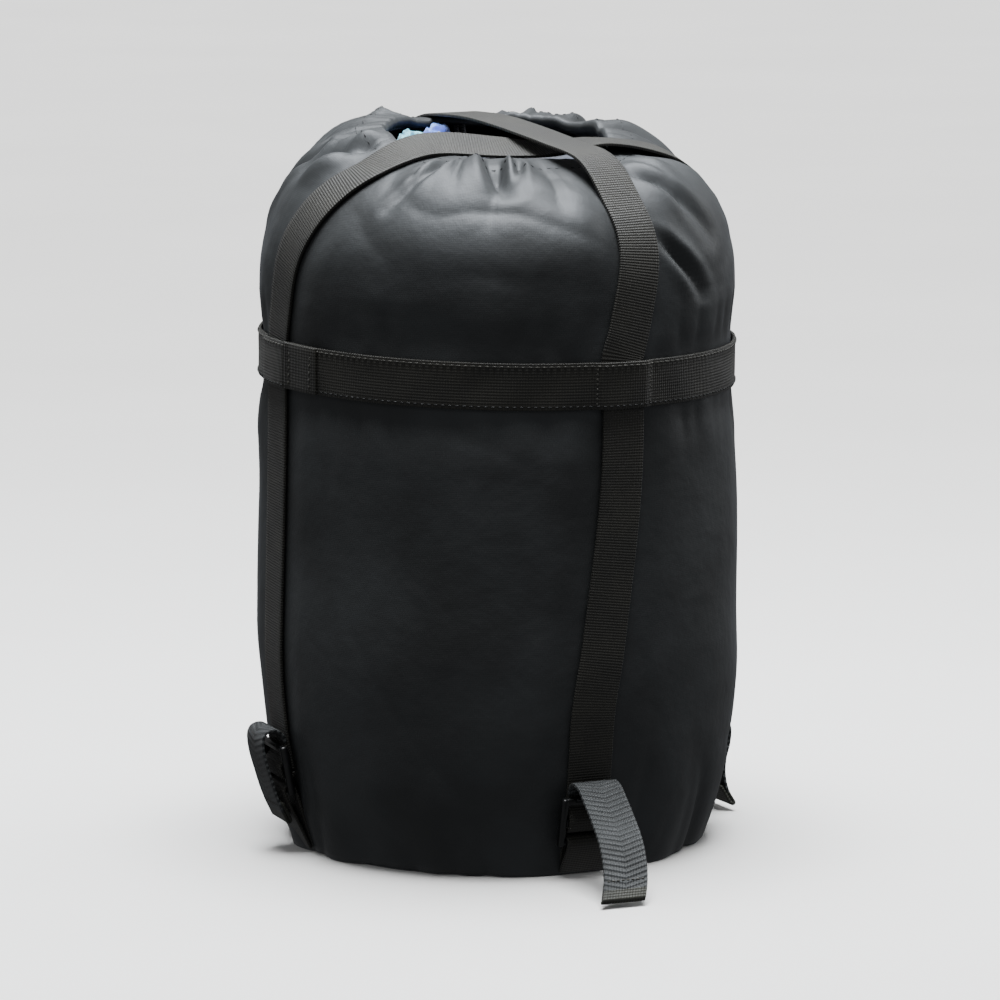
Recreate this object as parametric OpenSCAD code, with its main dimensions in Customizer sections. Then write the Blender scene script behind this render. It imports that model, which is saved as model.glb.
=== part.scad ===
// Compression sack: a round stuff sack, packed full and drawn shut, held by two webbing
// straps that cross over its mouth and pull down into four ladder locks at its base.
// Origin: centre of the flat base, on the floor. +Z is up, -Y is the front, +X the right.
// An azimuth is counted from the front (-Y) towards the right (+X).

/* [Sack] */
// Diameter of the flat base
base_d = 222; // [160:1:260]
// Widest diameter of the packed body
belly_d = 260; // [220:1:320]
// Height of the widest place
belly_z = 120; // [90:1:160]
// Diameter where the shoulder starts to close
shoulder_d = 255; // [215:1:310]
// Height where the shoulder starts to close
shoulder_z = 305; // [290:1:420]
// Height of the gathered dome above the shoulder
dome_h = 82; // [60:1:110]
// Squareness of the dome: 2 is an ellipse, more is squarer
dome_power = 2.5; // [2:0.1:3.2]
// Diameter of the drawn mouth
mouth_d = 124; // [90:1:150]
// Thickness of the cloth
cloth_t = 1; // [0.6:0.1:2]
// Rise of the mouth from front to back, per unit of depth
lean_y = 0.09; // [0:0.01:0.15]
// Rise of the mouth from right to left, per unit of width
lean_x = 0.04; // [0:0.01:0.1]

/* [Hem and drawcord] */
// Width of the hem casing
hem_w = 14; // [11:0.5:20]
// Thickness of the hem casing
hem_t = 5; // [4.6:0.1:7]
// Diameter of the drawcord
cord_d = 3; // [2:0.1:3.2]
// Direction on the mouth where the drawcord comes out
cord_exit_az = 199; // [190:1:205]
// Diameter of the knot at the drawcord's ends
knot_d = 8; // [7:0.5:10]

/* [Cord lock] */
// Diameter of the barrel
barrel_d = 17; // [16:0.5:22]
// Height of the barrel
barrel_h = 15; // [14:0.5:18]
// Diameter of the push button
button_d = 12; // [11:0.5:12.5]
// How far the button stands out of the barrel
button_out = 4; // [3.5:0.5:6]
// Travel of the push button
button_travel = 3; // [2:0.5:3.2]
// Wire diameter of the spring
spring_wire_d = 0.5; // [0.4:0.1:0.6]

/* [Webbing] */
// Width of all webbing
strap_w = 25; // [20:1:30]
// Thickness of all webbing
strap_t = 1.6; // [1.2:0.1:2.2]
// Height of the middle of the ring band
ring_z = 268; // [220:1:275]
// Sideways slope of the ring band, in degrees
ring_tilt = 1.3; // [0:0.1:2]

/* [Ladder locks] */
// Height of the middle of the front, back and right ladder locks
lock_z = 33; // [31:1:45]
// Extra height of the left ladder lock
left_lock_rise = 15; // [0:1:20]
// Distance from the anchor bar to the middle bar
bar_pitch = 12; // [11:0.5:14]
// Diameter of the anchor bar
anchor_bar_d = 4; // [3:0.1:4.4]
// Thickness of the middle bar and top bar, across the webbing
bar_t = 3; // [2.4:0.1:3.4]
// Width of the middle bar and top bar, along the webbing
bar_w = 4; // [3:0.1:4.4]
// Width of each side rail
rail_w = 4; // [3:0.5:5]
// Radius of the free end's arch over the lock
arch_r = 6.5; // [6:0.5:9]

/* [Fits] */
// Gap between pieces that lie against each other
gap = 0.3; // [0.2:0.05:0.4]
// Side play of the webbing between the rails
side_play = 0.5; // [0.3:0.1:0.8]

/* [Hidden] */

FRONT = 0;
LEFT = 1;
BACK = 2;
RIGHT = 3;

// Azimuth of each strap at its ladder lock and under the ring band.
lock_az = [23, -68, 205, 117];
ring_az = [31, -66, 207, 110];

base_r = base_d / 2;
belly_r = belly_d / 2;
shoulder_r = shoulder_d / 2;
mouth_r = mouth_d / 2;
hem_r = mouth_r + hem_w;
// The dome's outline would close at this radius, if the mouth did not cut it off.
crest_r = mouth_r - 22;
outline_power = 2 / dome_power;
eps = 0.01;

// ---- Outline of the body ----

function ease(t) = let (c = min(1, max(0, t))) c * c * (3 - 2 * c);
function mix(a, b, t) = a + (b - a) * t;
function unit(v) = v / norm(v);
function polar(r, az, z) = [r * sin(az), -r * cos(az), z];

// Angle along the dome's outline at which it has a given radius.
function dome_angle(r) = acos(pow((r - crest_r) / (shoulder_r - crest_r), 1 / outline_power));
mouth_angle = dome_angle(mouth_r);

// Radius and height along the outline: q 0 to 1 is the bowl, 1 to 2 the side, 2 to 3 the dome.
function bowl_point(q) = [belly_r - (belly_r - base_r) * pow(1 - q, 2), q * belly_z];
function side_point(q) = [mix(belly_r, shoulder_r, q - 1), mix(belly_z, shoulder_z, q - 1)];
function dome_point(a) = [
    crest_r + (shoulder_r - crest_r) * pow(cos(a), outline_power),
    shoulder_z + dome_h * pow(sin(max(a, 0)), outline_power)
];
function outline(q) =
    q < 1 ? bowl_point(q) :
    q < 2 ? side_point(q) :
    dome_point((q - 2) * mouth_angle);
function outline_out(q) = let (d = outline(q + eps) - outline(q - eps)) unit([d.y, -d.x]);
function skin(q, off) = outline(q) + off * outline_out(q);

// Height to q, below the shoulder.
function q_at(z) = z < belly_z ? z / belly_z : 1 + (z - belly_z) / (shoulder_z - belly_z);
// Radius to q, on the dome.
function q_in(r) = 2 + dome_angle(r) / mouth_angle;

rim_z = outline(3).y;
hem_q = q_in(hem_r);

// The mouth leans: points near it are raised to the back and to the left.
function lean(p) =
    let (w = min(1, max(0, (shoulder_r - norm([p.x, p.y])) / (shoulder_r - hem_r))))
    p + [0, 0, p.z > shoulder_z ? w * (lean_y * p.y - lean_x * p.x) : 0];
function on_body(az, q, off) = let (s = skin(q, off)) lean(polar(s.x, az, s.y));
function out_of_body(az, q) = let (n = outline_out(q)) polar(n.x, az, n.y);
module leaned() {
    translate([0, 0, rim_z]) rotate([atan(lean_y), atan(lean_x), 0]) translate([0, 0, -rim_z]) children();
}

// ---- Solids swept by functions ----

// A closed solid from equal rings of points, capped at both ends or joined into a loop.
module ringed(rings, loop = false) {
    m = len(rings);
    k = len(rings[0]);
    last = loop ? m - 1 : m - 2;
    sides = [for (i = [0:last], j = [0:k - 1], half = [0, 1])
        let (here = i * k, next = ((i + 1) % m) * k, jn = (j + 1) % k)
        half == 0 ? [here + j, next + j, here + jn] : [here + jn, next + j, next + jn]];
    start = [for (j = [1:k - 2]) [0, j, j + 1]];
    end = [for (j = [1:k - 2]) [(m - 1) * k, (m - 1) * k + j + 1, (m - 1) * k + j]];
    polyhedron(points = [for (r = rings, p = r) p], faces = loop ? sides : concat(sides, start, end));
}

function tangent(pts, i) = unit(pts[min(i + 1, len(pts) - 1)] - pts[max(i - 1, 0)]);

// Webbing along a row of [centre, outward] pairs.
function strap_ring(c, t, out) =
    let (side = unit(cross(out, t)) * strap_w / 2, up = unit(cross(t, side)) * strap_t / 2)
    [c - side - up, c + side - up, c + side + up, c - side + up];
module strap(route) {
    pts = [for (r = route) r[0]];
    ringed([for (i = [0:len(pts) - 1]) strap_ring(pts[i], tangent(pts, i), route[i][1])]);
}

// Round cord along a row of points.
function cord_ring(c, t, r, sides) =
    let (flat = abs(t.z) > 0.9 ? [1, 0, 0] : [0, 0, 1], u = unit(cross(t, flat)), v = cross(t, u))
    [for (j = [0:sides - 1]) c + r * (cos(360 * j / sides) * u + sin(360 * j / sides) * v)];
module cord(pts, r, sides = 8) {
    ringed([for (i = [0:len(pts) - 1]) cord_ring(pts[i], tangent(pts, i), r, sides)]);
}

// Smooth curve through rows of numbers or of vectors.
function between(a, b, c, d, t) =
    0.5 * (2 * b + (c - a) * t + (2 * a - 5 * b + 4 * c - d) * t * t + (3 * b - a - 3 * c + d) * t * t * t);
function smooth(rows, steps) = [
    for (i = [0:len(rows) - 2], j = [0:steps - 1])
        between(rows[max(i - 1, 0)], rows[i], rows[i + 1], rows[min(i + 2, len(rows) - 1)], j / steps),
    rows[len(rows) - 1]
];

// Flat band of webbing thickness round a plane path, as an outline.
function plane_tangent(p, i) = unit(p[min(i + 1, len(p) - 1)] - p[max(i - 1, 0)]);
function band_side(p, s) = [for (i = [0:len(p) - 1]) let (t = plane_tangent(p, i)) p[i] + s * [-t.y, t.x]];
function reversed(v) = [for (i = [len(v) - 1:-1:0]) v[i]];
function band(p) = concat(band_side(p, strap_t / 2), reversed(band_side(p, -strap_t / 2)));

// ---- Body of the sack ----

bowl_steps = 10;
dome_steps = 14;
split_gap = gap / 2;
function range(a, b, n) = [for (i = [0:n]) mix(a, b, i / n)];
lower_q = concat(range(0, 1, bowl_steps), [q_at(ring_z - split_gap)]);
upper_q = concat([q_at(ring_z + split_gap)], range(2, hem_q, dome_steps));

module base_panel() {
    color("#1b1d20") cylinder(h = cloth_t, r = base_r - cloth_t - gap, $fn = 128);
}

tape_w = 5;
module base_seam_tape() {
    color("#26272a") translate([0, 0, cloth_t + gap]) difference() {
        cylinder(h = tape_w, r = base_r - cloth_t - gap, $fn = 128);
        translate([0, 0, -1]) cylinder(h = tape_w + 2, r = base_r - cloth_t - gap - strap_t, $fn = 128);
    }
}

module lower_wall() {
    outer = [for (q = lower_q) skin(q, 0)];
    inner = [for (q = lower_q) skin(q, 0) - [cloth_t, 0]];
    color("#1f2226") rotate_extrude($fn = 128) polygon(concat(outer, reversed(inner)));
}

// The dome is leaned with the mouth, so it is swept in rings round the axis.
around = 48;
module swept_dome(section) {
    ringed([for (j = [0:around - 1])
        [for (p = reversed(section)) lean(polar(p.x, 360 * j / around, p.y))]], loop = true);
}

module upper_wall() {
    outer = [for (q = upper_q) skin(q, 0)];
    inner = [for (q = upper_q) skin(q, -cloth_t)];
    color("#202327") swept_dome(concat(outer, reversed(inner)));
}

bundle_in = cloth_t + 2 * gap;
module bundle_lower() {
    low = cloth_t + 2 * gap;
    floor_r = base_r - bundle_in - strap_t - 2 * gap;
    wall = [for (q = lower_q) if (outline(q).y > tape_w + 2 * low) skin(q, 0) - [bundle_in, 0]];
    foot = [[0, low], [floor_r, low], [floor_r, tape_w + 2 * low]];
    color("#2c4a63") rotate_extrude($fn = 96) polygon(concat(foot, wall, [[0, ring_z - split_gap]]));
}

// The bundle's top lies level in the mouth, this far below the rim.
fill_depth = 17;
fill_z = rim_z - fill_depth;
top_r = mouth_r - 20;
module bundle_upper() {
    side = [for (q = upper_q) if (outline(q).x > hem_r + 4) skin(q, -bundle_in)];
    leaned_rows = concat(side, [[hem_r, rim_z - 2 * hem_t]]);
    level_rows = [[mouth_r - 2, fill_z - 1], [top_r, fill_z]];
    turns = [for (j = [around - 1:-1:0]) 360 * j / around];
    color("#2c4a63") ringed(concat(
        [for (p = leaned_rows) [for (t = turns) lean(polar(p.x, t, p.y))]],
        [for (p = level_rows) [for (t = turns) polar(p.x, t, p.y)]]
    ));
}

// Folds of the packed things that show in the mouth, each a soft pad on the bundle.
// A pad is given by its centre, its half sizes and its direction.
pad_sides = 20;
module pad(c, size, turn) {
    lift = fill_z + gap + size.z;
    rings = [for (a = [-75:30:75])
        [for (j = [pad_sides - 1:-1:0])
            let (t = 360 * j / pad_sides)
            [size.x * cos(a) * cos(t), size.y * cos(a) * sin(t), size.z * sin(a)]]];
    translate([c.x, c.y, lift]) rotate(turn) ringed(rings);
}
module packed_towel() {
    color("#2fa3b5") pad([-46, -1], [9, 17, 10], 10);
}
module packed_shirt() {
    color("#3a56c8") pad([-33, 34], [8, 14, 10], 10);
}
module packed_tape() {
    color("#9aa0a6") pad([-32, 8.5], [4, 9.5, 9.5], 0);
}

// ---- Hem, drawcord and cord lock ----

hem_mid_r = mouth_r + hem_w / 2;
hem_slope = let (a = outline(3), b = outline(hem_q)) atan2(a.y - b.y, b.x - a.x);
hem_mid = [hem_mid_r, outline(q_in(hem_mid_r)).y - hem_t / 2 - gap];

module flat_oval(w, t) {
    square([w - t, t], center = true);
    for (s = [-1, 1]) translate([s * (w - t) / 2, 0]) circle(d = t, $fn = 24);
}
hem_channel_t = cord_d + 2 * gap;
hem_channel_w = hem_w - 2 * cloth_t - 2 * gap;
exit_w = 2 * cord_d + 6 * gap;

module hem_casing() {
    color("#1c1f22") leaned() difference() {
        rotate_extrude($fn = 96) translate(hem_mid) rotate(-hem_slope) difference() {
            flat_oval(hem_w - 2 * gap, hem_t);
            flat_oval(hem_channel_w, hem_channel_t);
        }
        rotate([0, 0, cord_exit_az]) translate([0, -mouth_r, hem_mid.y])
            cube([exit_w + cord_d, hem_w, hem_channel_t], center = true);
    }
}

module drawcord_loop() {
    open = 2 * asin((exit_w / 2 + cord_d) / hem_mid_r);
    color("#3c3f44") leaned() rotate([0, 0, cord_exit_az - 90 + open / 2])
        rotate_extrude(angle = 360 - open, $fn = 96) translate(hem_mid) circle(d = cord_d, $fn = 16);
}

// The cord lock stands on the bundle, and both cord ends run through it to one knot.
lock_at = [-18, -14];
cord_pitch = cord_d + 2 * gap;
cord_z = fill_z + gap + barrel_h / 2;
exit_r = mouth_r + 3;
exit_z = lean(polar(exit_r, cord_exit_az, hem_mid.y)).z;
exit_point = [polar(exit_r, cord_exit_az, 0).x, polar(exit_r, cord_exit_az, 0).y, exit_z];
knot_y = lock_at.y - barrel_d / 2 - knot_d / 2 - 1;
// Route of each end, from the hem forwards through the lock: side, way along, height share.
function end_route(s) = [
    [exit_point.x + s * cord_pitch / 2, exit_point.y, exit_z],
    [mix(exit_point.x, lock_at.x, 0.3) + s * cord_pitch / 2, 52, mix(exit_z, cord_z, 0.4)],
    [lock_at.x + s * cord_pitch / 2, 44, mix(exit_z, cord_z, 0.85)],
    [lock_at.x + s * cord_pitch / 2, 34, cord_z],
    [lock_at.x + s * cord_pitch / 2, 20, cord_z],
    [lock_at.x + s * cord_pitch / 2, 0, cord_z],
    [lock_at.x + s * cord_pitch / 2, lock_at.y, cord_z],
    [lock_at.x + s * cord_pitch / 2, knot_y + knot_d / 2, cord_z]
];
module drawcord_end(s) {
    color("#4a4d52") cord(smooth(end_route(s), 3), cord_d / 2);
}
module drawcord_end_left() { drawcord_end(-1); }
module drawcord_end_right() { drawcord_end(1); }
module drawcord_knot() {
    color("#4a4d52") translate([lock_at.x, knot_y, cord_z]) sphere(d = knot_d, $fn = 32);
}

barrel_bore_d = button_d + 2 * gap;
button_slot_h = cord_d + 2 * gap + button_travel;
module cord_window(w, h, low) {
    translate([-w / 2, -barrel_d, low]) cube([w, 2 * barrel_d, h]);
}
module at_lock() {
    translate([lock_at.x, lock_at.y, cord_z]) children();
}
barrel_floor_t = 1.2;
button_web = 1.7;
spring_floor = -barrel_h / 2 + barrel_floor_t;
spring_top = -cord_d / 2 - gap - button_web;
module cord_lock_barrel() {
    color("#141516") at_lock() difference() {
        translate([0, 0, -barrel_h / 2]) cylinder(h = barrel_h, d = barrel_d, $fn = 48);
        translate([0, 0, spring_floor]) cylinder(h = barrel_h, d = barrel_bore_d, $fn = 48);
        cord_window(2 * cord_pitch, cord_d + 2 * gap, -cord_d / 2 - gap);
    }
}
module cord_lock_button() {
    low = spring_top + gap;
    color("#1a1b1d") at_lock() difference() {
        translate([0, 0, low]) cylinder(h = barrel_h / 2 + button_out - low, d = button_d, $fn = 48);
        cord_window(2 * cord_pitch, button_slot_h, -cord_d / 2 - gap);
    }
}
module cord_lock_spring() {
    turns = 2;
    steps = 16;
    r = button_d / 2 - 2;
    rise = spring_top - spring_floor - spring_wire_d - 2 * gap;
    coil = [for (i = [0:turns * steps])
        [r * cos(360 * i / steps), r * sin(360 * i / steps),
            spring_floor + gap + spring_wire_d / 2 + rise * i / (turns * steps)]];
    color("silver") at_lock() cord(coil, spring_wire_d / 2, 6);
}

// ---- Ring band ----

ring_in_r = outline(q_at(ring_z - strap_w / 2)).x + 3 * gap;
ring_bump = strap_t + 2 * gap;
ring_bump_w = strap_w + 6;

module ring_outline(r, extra) {
    circle(r = r + extra, $fn = 128);
    for (az = ring_az) rotate(az) translate([-ring_bump_w / 2 - extra, -r - ring_bump - extra])
        square([ring_bump_w + 2 * extra, ring_bump + r / 2]);
}
module ring_band() {
    color("#2b2a27") translate([0, 0, ring_z]) rotate([0, ring_tilt, 0])
        linear_extrude(height = strap_w, center = true) difference() {
            ring_outline(ring_in_r, strap_t);
            ring_outline(ring_in_r, 0);
        }
}

// ---- Straps over the mouth ----

strap_off = gap + strap_t / 2;
function strap_on_body(az, q, lift = 0) = [on_body(az, q, strap_off + lift), out_of_body(az, q)];
// A place over the mouth: across and along as shares of the mouth's radius, height over the
// leaned rim, and the sideways and forward lean of the webbing's face.
function over_mouth(x, y, up, fx, fy) = [lean([x * mouth_r, y * mouth_r, rim_z + up]), unit([fx, fy, 1])];

// Each strap starts straight up, hidden by the ring band.
under_ring = [split_gap, 4, strap_w / 2];
function strap_start(k) = [for (rise = under_ring) strap_on_body(ring_az[k], q_at(ring_z + rise))];
front_to_back_rows = concat(
    strap_start(FRONT),
    [strap_on_body(33, 1.95), strap_on_body(36, 2.12), strap_on_body(37, 2.3), strap_on_body(37, 2.52)],
    [over_mouth(0.86, -1.14, 2, 0.35, -0.45), over_mouth(0.54, -0.74, 8, 0.12, -0.15),
        over_mouth(0.03, 0, 9.5, 0, 0), over_mouth(-0.26, 0.5, 6.5, -0.05, 0.1)],
    [strap_on_body(204, 2.9), strap_on_body(206, 2.7, 0.5), strap_on_body(207, 2.45, 0.5),
        strap_on_body(207, 2.25),
        strap_on_body(207, 2.1), strap_on_body(207, 1.98)],
    reversed(strap_start(BACK))
);
left_to_right_rows = concat(
    strap_start(LEFT),
    [strap_on_body(-65, 1.95), strap_on_body(-62, 2.12), strap_on_body(-58, 2.3), strap_on_body(-53, 2.5),
        strap_on_body(-47, 2.72)],
    [over_mouth(-0.62, -0.78, 4, 0, -0.4), over_mouth(0.03, -0.66, 3, 0, -0.35),
        over_mouth(0.44, -0.52, 1.5, 0, -0.2), over_mouth(0.9, -0.3, 4, 0.1, 0)],
    [strap_on_body(94, 2.75, 1), strap_on_body(99, 2.5), strap_on_body(104, 2.3), strap_on_body(107, 2.12),
        strap_on_body(109, 1.95)],
    reversed(strap_start(RIGHT))
);

over_steps = 4;
module strap_front_to_back() {
    color("#2f2e2a") strap(smooth(front_to_back_rows, over_steps));
}
module strap_left_to_right() {
    color("#2f2e2a") strap(smooth(left_to_right_rows, over_steps));
}

// ---- Ladder locks, and the webbing at them ----

lock_h = [lock_z, lock_z + left_lock_rise, lock_z, lock_z];
// The lock's own plane: out of the body (n) and up along it (s), from the anchor bar's foot.
function lock_q(k) = lock_h[k] / belly_z;
function lock_tilt(k) = let (n = outline_out(lock_q(k))) -atan(n.y / n.x);
function lock_foot(k) = skin(lock_q(k), 0) - bar_pitch * [sin(lock_tilt(k)), cos(lock_tilt(k))];
function in_lock(k, p) = let (a = lock_tilt(k))
    lock_foot(k) + [p.x * cos(a) + p.y * sin(a), p.y * cos(a) - p.x * sin(a)];
module lock_plane(k) {
    translate(lock_foot(k)) rotate(-lock_tilt(k)) children();
}
// Stands a drawing of (outwards, up) on the strap's azimuth, with a width along the body.
module on_azimuth(az, w, along = 0) {
    rotate([0, 0, az]) translate([along, 0, 0]) rotate([90, 0, -90])
        linear_extrude(height = w, center = true) children();
}

back_n = 2 * gap + strap_t / 2;
free_n = back_n + strap_t + gap;
top_bar_n = free_n + strap_t / 2 + gap + bar_t / 2;
mid_bar_n = top_bar_n;
anchor_n = mid_bar_n;
wrap_r = strap_t / 2 + gap + bar_w / 2;
top_bar_s = 2 * bar_pitch;
run_split_s = bar_pitch - bar_w / 2;
exit_s = top_bar_s + bar_w / 2 + gap;
lock_in_w = strap_w + 2 * side_play;

module ladder_lock(k) {
    color("#151617") {
        for (s = [-1, 1]) on_azimuth(lock_az[k], rail_w, s * (lock_in_w + rail_w) / 2) lock_plane(k) {
            translate([anchor_n, top_bar_s / 2]) square([bar_t + 1, top_bar_s], center = true);
            for (e = [0, 1]) translate([anchor_n, e * top_bar_s]) circle(d = bar_t + 1, $fn = 32);
        }
        on_azimuth(lock_az[k], lock_in_w + 2 * eps) lock_plane(k) {
            translate([anchor_n, 0]) circle(d = anchor_bar_d, $fn = 32);
            translate([mid_bar_n, bar_pitch]) square([bar_t, bar_w], center = true);
            translate([top_bar_n, top_bar_s]) square([bar_t, bar_w], center = true);
        }
    }
}

// The tab loops round the anchor bar and is sewn into the base seam.
tab_loop_r = anchor_bar_d / 2 + gap;
tab_end_z = 2.2;
module anchor_tab(k) {
    bar = in_lock(k, [anchor_n, 0]);
    seam = [skin(tab_end_z / belly_z, 0).x + gap + strap_t, tab_end_z];
    down = unit(seam - bar);
    across = [-down.y, down.x];
    color("#2b2a27") on_azimuth(lock_az[k], strap_w) difference() {
        union() {
            translate(bar) circle(r = tab_loop_r + strap_t, $fn = 48);
            polygon([bar + across * (tab_loop_r + strap_t), bar - across * (tab_loop_r + strap_t),
                seam - across * strap_t, seam + across * strap_t]);
        }
        translate(bar) circle(r = tab_loop_r, $fn = 48);
    }
}

// The load side comes down the body and passes behind the bars.
function run_place(k, q, s) =
    let (az = mix(lock_az[k], ring_az[k], ease((s - 0.1) / 0.8)), p = skin(q, back_n))
    [polar(p.x, az, p.y), out_of_body(az, q)];
function run_in_lock(k, s) = let (p = in_lock(k, [back_n, s]), a = lock_tilt(k))
    [polar(p.x, lock_az[k], p.y), polar(cos(a), lock_az[k], -sin(a))];
run_steps = 20;
module strap_run(k) {
    q0 = lock_q(k) + 30 / belly_z;
    q1 = q_at(ring_z - split_gap);
    lower = [for (s = [run_split_s + 1.2, top_bar_s / 2 + 4, top_bar_s, exit_s + 2]) run_in_lock(k, s)];
    upper = [for (i = [0:run_steps]) run_place(k, mix(q0, q1, i / run_steps), i / run_steps)];
    color("#2f2e2a") strap(concat(lower, upper));
}

// The wrap turns round the middle bar and goes back behind the top bar.
function arc(c, r, a0, a1, n) = [for (i = [0:n]) let (a = mix(a0, a1, i / n)) c + r * [cos(a), sin(a)]];
module strap_wrap(k) {
    front_n = mid_bar_n + bar_t / 2 + gap + strap_t / 2;
    half = (front_n - back_n) / 2;
    turn_s = bar_pitch - bar_w / 2 - gap - strap_t / 2 + half;
    path = concat(
        [[back_n, run_split_s]],
        arc([back_n + half, turn_s - half + 1.2], half, 195, 345, 10),
        [[front_n, bar_pitch], [front_n, bar_pitch + bar_w / 2 + 0.6]],
        [[free_n + 1.2, top_bar_s - bar_w / 2 - 3.4], [free_n, top_bar_s - bar_w / 2 - 1], [free_n, exit_s]]
    );
    color("#2f2e2a") on_azimuth(lock_az[k], strap_w) lock_plane(k) polygon(band(path));
}

// The free end leaves upwards between the lock and the load side, and arches over.
arch_c = [free_n + arch_r, exit_s + 2.5];
apex = arch_c + [0, arch_r];
module strap_arch(k) {
    path = concat([[free_n, exit_s + gap]], arc(arch_c, arch_r, 180, 90 + 1.5, 10));
    color("#2f2e2a") on_azimuth(lock_az[k], strap_w) lock_plane(k) polygon(band(path));
}

// Rows of each free end from the arch to its tip: outwards, sideways, share of the drop.
front_rows = [
    [0, 0, 1], [5, 0, 0.97], [11, 0, 0.88], [22, 0, 0.7],
    [34, -1, 0.52], [44, -3, 0.33], [52, -6, 0.16], [59, -10, 0.03]
];
close_rows = [
    [0, 0, 1], [4, 0, 0.96], [6.5, 0, 0.86], [6, 0, 0.7],
    [3, -1, 0.52], [2, -2, 0.34], [3, -4, 0.17], [6, -6, 0.04]
];
left_rows = [
    [0, 0, 1], [3, 0, 0.975], [4.5, 0, 0.91], [3.5, 0, 0.78],
    [0.5, 0, 0.62], [-3, 0, 0.45], [-6.5, 0, 0.32], [-10, -1, 0.22]
];
tail_rows = [front_rows, left_rows, close_rows, close_rows];
tip_z = strap_t / 2 + 2.6;
function tail_place(k, r) =
    let (a = in_lock(k, apex + [gap, 0]), z = mix(tip_z, a.y, r.z), az = lock_az[k])
    polar(a.x + r.x, az, z) + r.y * [cos(az), sin(az), 0];
module strap_tail(k) {
    az = lock_az[k];
    pts = smooth([for (r = tail_rows[k]) tail_place(k, r)], 3);
    route = [for (i = [0:len(pts) - 1]) [pts[i], cross(tangent(pts, i), -[cos(az), sin(az), 0])]];
    color("#3a3a38") strap(route);
}

module anchor_tab_front() { anchor_tab(FRONT); }
module anchor_tab_left() { anchor_tab(LEFT); }
module anchor_tab_back() { anchor_tab(BACK); }
module anchor_tab_right() { anchor_tab(RIGHT); }
module ladder_lock_front() { ladder_lock(FRONT); }
module ladder_lock_left() { ladder_lock(LEFT); }
module ladder_lock_back() { ladder_lock(BACK); }
module ladder_lock_right() { ladder_lock(RIGHT); }
module strap_run_front() { strap_run(FRONT); }
module strap_run_left() { strap_run(LEFT); }
module strap_run_back() { strap_run(BACK); }
module strap_run_right() { strap_run(RIGHT); }
module strap_wrap_front() { strap_wrap(FRONT); }
module strap_wrap_left() { strap_wrap(LEFT); }
module strap_wrap_back() { strap_wrap(BACK); }
module strap_wrap_right() { strap_wrap(RIGHT); }
module strap_arch_front() { strap_arch(FRONT); }
module strap_arch_left() { strap_arch(LEFT); }
module strap_arch_back() { strap_arch(BACK); }
module strap_arch_right() { strap_arch(RIGHT); }
module strap_tail_front() { strap_tail(FRONT); }
module strap_tail_left() { strap_tail(LEFT); }
module strap_tail_back() { strap_tail(BACK); }
module strap_tail_right() { strap_tail(RIGHT); }

base_panel();
base_seam_tape();
lower_wall();
upper_wall();
bundle_lower();
bundle_upper();
packed_towel();
packed_shirt();
packed_tape();
ring_band();
hem_casing();
drawcord_loop();
drawcord_end_left();
drawcord_end_right();
drawcord_knot();
cord_lock_barrel();
cord_lock_button();
cord_lock_spring();
strap_front_to_back();
strap_left_to_right();
anchor_tab_front();
anchor_tab_left();
anchor_tab_back();
anchor_tab_right();
ladder_lock_front();
ladder_lock_left();
ladder_lock_back();
ladder_lock_right();
strap_run_front();
strap_run_left();
strap_run_back();
strap_run_right();
strap_wrap_front();
strap_wrap_left();
strap_wrap_back();
strap_wrap_right();
strap_arch_front();
strap_arch_left();
strap_arch_back();
strap_arch_right();
strap_tail_front();
strap_tail_left();
strap_tail_back();
strap_tail_right();
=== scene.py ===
"""Compression sack: the sewn cloth, webbing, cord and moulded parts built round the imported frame."""

import math

import bmesh
import bpy
import numpy as np
from mathutils.kdtree import KDTree
from mathutils import Matrix, Vector, noise


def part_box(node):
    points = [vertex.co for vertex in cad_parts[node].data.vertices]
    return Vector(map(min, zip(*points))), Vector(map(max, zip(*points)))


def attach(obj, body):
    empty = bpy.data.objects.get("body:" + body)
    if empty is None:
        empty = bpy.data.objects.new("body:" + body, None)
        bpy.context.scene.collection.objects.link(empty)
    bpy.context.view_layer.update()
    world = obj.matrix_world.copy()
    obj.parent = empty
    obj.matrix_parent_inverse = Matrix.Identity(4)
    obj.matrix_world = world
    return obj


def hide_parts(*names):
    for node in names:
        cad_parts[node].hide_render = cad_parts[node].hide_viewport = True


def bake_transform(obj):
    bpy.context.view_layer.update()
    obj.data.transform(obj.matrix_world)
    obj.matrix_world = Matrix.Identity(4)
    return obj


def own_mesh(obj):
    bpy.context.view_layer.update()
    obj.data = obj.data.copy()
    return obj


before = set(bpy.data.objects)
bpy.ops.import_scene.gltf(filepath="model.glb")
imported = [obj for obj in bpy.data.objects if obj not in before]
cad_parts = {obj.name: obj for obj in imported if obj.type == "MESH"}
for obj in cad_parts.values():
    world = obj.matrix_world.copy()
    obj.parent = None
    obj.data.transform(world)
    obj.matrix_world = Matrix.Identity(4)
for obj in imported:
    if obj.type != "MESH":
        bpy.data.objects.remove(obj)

bl_info = {
    "name": "Compression Sack",
    "version": (1, 0, 0),
    "blender": (4, 5, 0),
    "location": "View3D > Sidebar > Sack",
    "description": "Builds the cloth, webbing, drawcord and ladder locks of a packed compression sack",
    "category": "Object",
}

MM = 0.001
FRONT, LEFT, BACK, RIGHT = 0, 1, 2, 3
ENDS = ("front", "left", "back", "right")

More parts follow.
